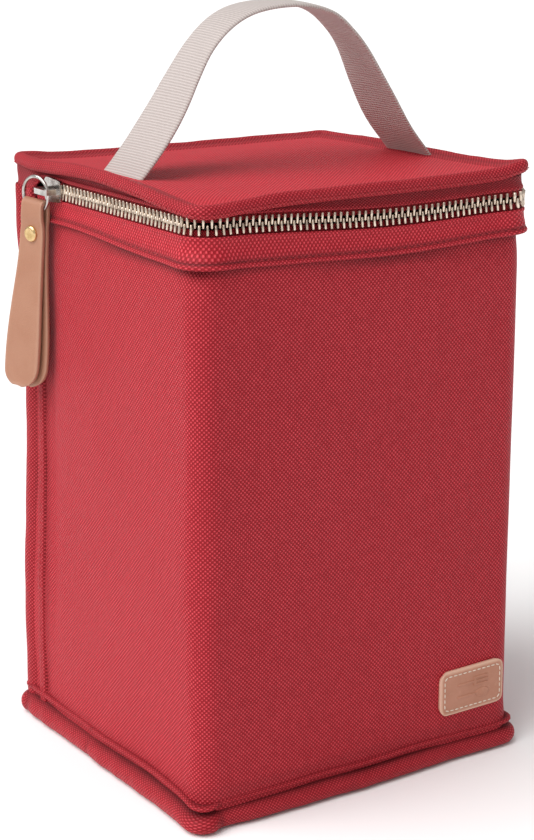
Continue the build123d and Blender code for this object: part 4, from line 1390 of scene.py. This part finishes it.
# ---------------------------------------------------------------- inside
@dataclass
class Inside:
    """Film lining of the lunch space and the bound rim of its mouth."""

    finishes: Finishes
    film: float = 0.3

    def walls(self) -> None:
        """Film on the walls, which faces inwards."""
        plan = Plan(62.0, 57.0, 3.0, 3.0)

        def place(mark: float, z: float) -> Vector:
            """Place of the film."""
            point, normal = plan.at(-mark)
            loose = 0.9 * smooth(8, 26, z) * smooth(203, 186, z)
            puff = loose * (0.6 + 0.7 * rumple((point.x, point.y, z), 26, 18))
            crinkle = 0.3 * rumple((point.x, point.y, z), 7, 19)
            return point - normal * (puff + crinkle * smooth(8, 20, z)) + Vector((0, 0, z))

        marks = [-m for m in reversed(plan.stations(0, plan.length(), 4, 4))]
        marks = [m + plan.length() for m in marks]
        walls = woven_grid("lining_walls", marks, spread(7.6, 203.6, 4.5), place, closed=True)
        dress(walls, self.finishes.film, "bag_body", ["lining"], self.film, 1)
        size, foams = (plan.length() * MM, 0.196), ["foam_front", "foam_left"]
        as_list(foams)

    def floor(self) -> None:
        """Film on the floor."""
        def place(x: float, y: float) -> Vector:
            """Place of the film."""
            inset = min(61.8 - abs(x), 56.8 - abs(y))
            return Vector((x, y, 7.75 + smooth(0, 12, inset) * (0.5 + 0.5 * rumple((x, y, 7), 15, 20))))

        base = woven_grid("lining_floor", spread(-61.8, 61.8, 5), spread(-56.8, 56.8, 5), place)
        dress(base, self.finishes.film, "bag_body", (), self.film, 1)

    def rim(self) -> None:
        """Bound rim, a flat roll over the foam's edge."""
        plan = Plan(64.0, 59.0, 4.0, 3.0)

        def rows(mark: float) -> Rows:
            """Section of the rim."""
            wave = 0.18 * rumple((mark, 0, 0), 12, 21)
            outside = [(2.2, 204.0), (2.6, 204.6), (2.3, 205.5 + wave), (1.0, 206.1 + wave)]
            inside = [(-0.8, 206.1 + wave), (-2.2, 205.6), (-2.7, 204.8), (-2.5, 203.4), (-2.2, 202.2)]
            return outside + inside

        marks = plan.stations(0, plan.length(), 3, 5)
        roll = Roll(plan, marks, rows, closed=True).build("rim_roll")
        dress(roll, self.finishes.seam, "bag_body", ["rim_binding"], 0, 1)
        plan.length() * MM

    def build(self) -> None:
        """Builds the lining and the rim."""
        self.walls()
        self.floor()
        self.rim()


def paint_frame(finishes: Finishes) -> None:
    """Gives each CAD node that stays its finish."""
    made = {
        "base_panel": finishes.under,
        "base_board": finishes.board,
        "zip_slider": finishes.nickel,
        "pull_ring": finishes.nickel,
        "zip_stop_lower": finishes.zip,
        "zip_stop_upper": finishes.zip,
        "rivet_cap": finishes.brass,
        "rivet_post": finishes.brass,
    }
    for name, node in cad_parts.items():
        if name in made or "foam" in name:
            material = made.get(name, finishes.foam)
            node.data.materials.clear()
            node.data.materials.append(material)
            LOG.info("%s: %s", name, material.name)


# ---------------------------------------------------------------- studio
@dataclass
class Studio:
    """Pale floor, soft light from the upper left, and the camera; these lengths are in metres."""

    eye: Vector = Vector((-0.4053, -0.6152, 0.3253))
    target: Vector = Vector((0.00232, 0.00278, 0.12209))
    lens: float = 87.5
    sky: tuple[float, float] = (0.13, 0.74)  # level of its dim and bright ends
    sky_up: tuple[float, float, float] = (-0.62, -0.1, 0.78)  # towards its bright end
    key: float = 2.7
    key_spread: float = math.radians(55)
    key_run: Vector = Vector((0.62, -0.03, -0.78))

    def camera(self) -> None:
        """Camera, kept upright."""
        data = bpy.data.cameras.new("camera")
        data.lens, data.sensor_width, data.clip_start = self.lens, 36, 0.01
        camera = bpy.data.objects.new("camera", data)
        camera.location = self.eye
        camera.rotation_euler = (self.target - self.eye).to_track_quat("-Z", "Y").to_euler()
        bpy.context.scene.collection.objects.link(camera)
        bpy.context.scene.camera = camera

    def floor(self) -> None:
        """Wide pale floor."""
        mesh = bmesh.new()
        bmesh.ops.create_grid(mesh, x_segments=1, y_segments=1, size=6)
        floor = close_mesh(mesh, "floor")
        recipe = Recipe("floor_paper")
        colour = recipe.blend(recipe.noise(0.4, 2), (0.93, 0.93, 0.93), (0.95, 0.95, 0.95))
        floor.data.materials.append(recipe.finish(base_color=colour, roughness=0.9))

    def lights(self) -> None:
        """White sky, brighter from the upper left, and one broad lamp."""
        world = bpy.data.worlds.new("studio")
        bpy.context.scene.world = world
        world.use_nodes = True
        tree = world.node_tree
        tree.nodes.clear()
        output = tree.nodes.new("ShaderNodeOutputWorld")
        mix = tree.nodes.new("ShaderNodeMixShader")
        seen, sky = tree.nodes.new("ShaderNodeBackground"), tree.nodes.new("ShaderNodeBackground")
        path = tree.nodes.new("ShaderNodeLightPath")
        seen.inputs[1].default_value = 1.0
        spot = tree.nodes.new("ShaderNodeTexCoord")
        toward = tree.nodes.new("ShaderNodeVectorMath")
        toward.operation = "DOT_PRODUCT"
        toward.inputs[1].default_value = self.sky_up
        tree.links.new(spot.outputs["Generated"], toward.inputs[0])
        level = tree.nodes.new("ShaderNodeMapRange")
        level.inputs["From Min"].default_value = -1.0
        level.inputs["To Min"].default_value, level.inputs["To Max"].default_value = self.sky
        tree.links.new(toward.outputs["Value"], level.inputs["Value"])
        tree.links.new(level.outputs[0], sky.inputs[1])
        sky.inputs[0].default_value = (1, 0.99, 0.985, 1)
        tree.links.new(path.outputs["Is Camera Ray"], mix.inputs[0])
        tree.links.new(sky.outputs[0], mix.inputs[1])
        tree.links.new(seen.outputs[0], mix.inputs[2])
        tree.links.new(mix.outputs[0], output.inputs[0])
        sun = bpy.data.lights.new("key", "SUN")
        sun.energy, sun.angle = self.key, self.key_spread
        lamp = bpy.data.objects.new("key", sun)
        lamp.rotation_euler = self.key_run.to_track_quat("-Z", "Y").to_euler()
        bpy.context.scene.collection.objects.link(lamp)

    def build(self) -> None:
        """Sets the studio up."""
        self.camera()
        self.floor()
        self.lights()
        bpy.context.scene.view_settings.view_transform = "Standard"


def main() -> None:
    """Builds the studio and the bag."""
    logging.basicConfig(level=logging.INFO, format="%(name)s: %(message)s")
    Studio().build()
    finishes = Finishes()
    paint_frame(finishes)
    Body(finishes).build()
    zipper = Zip(finishes)
    zipper.build()
    Lid(finishes, zipper).build()
    Handle(finishes).build()
    Pull(finishes).build()
    Label(finishes).build()
    Inside(finishes).build()


if __name__ == "__main__":
    main()
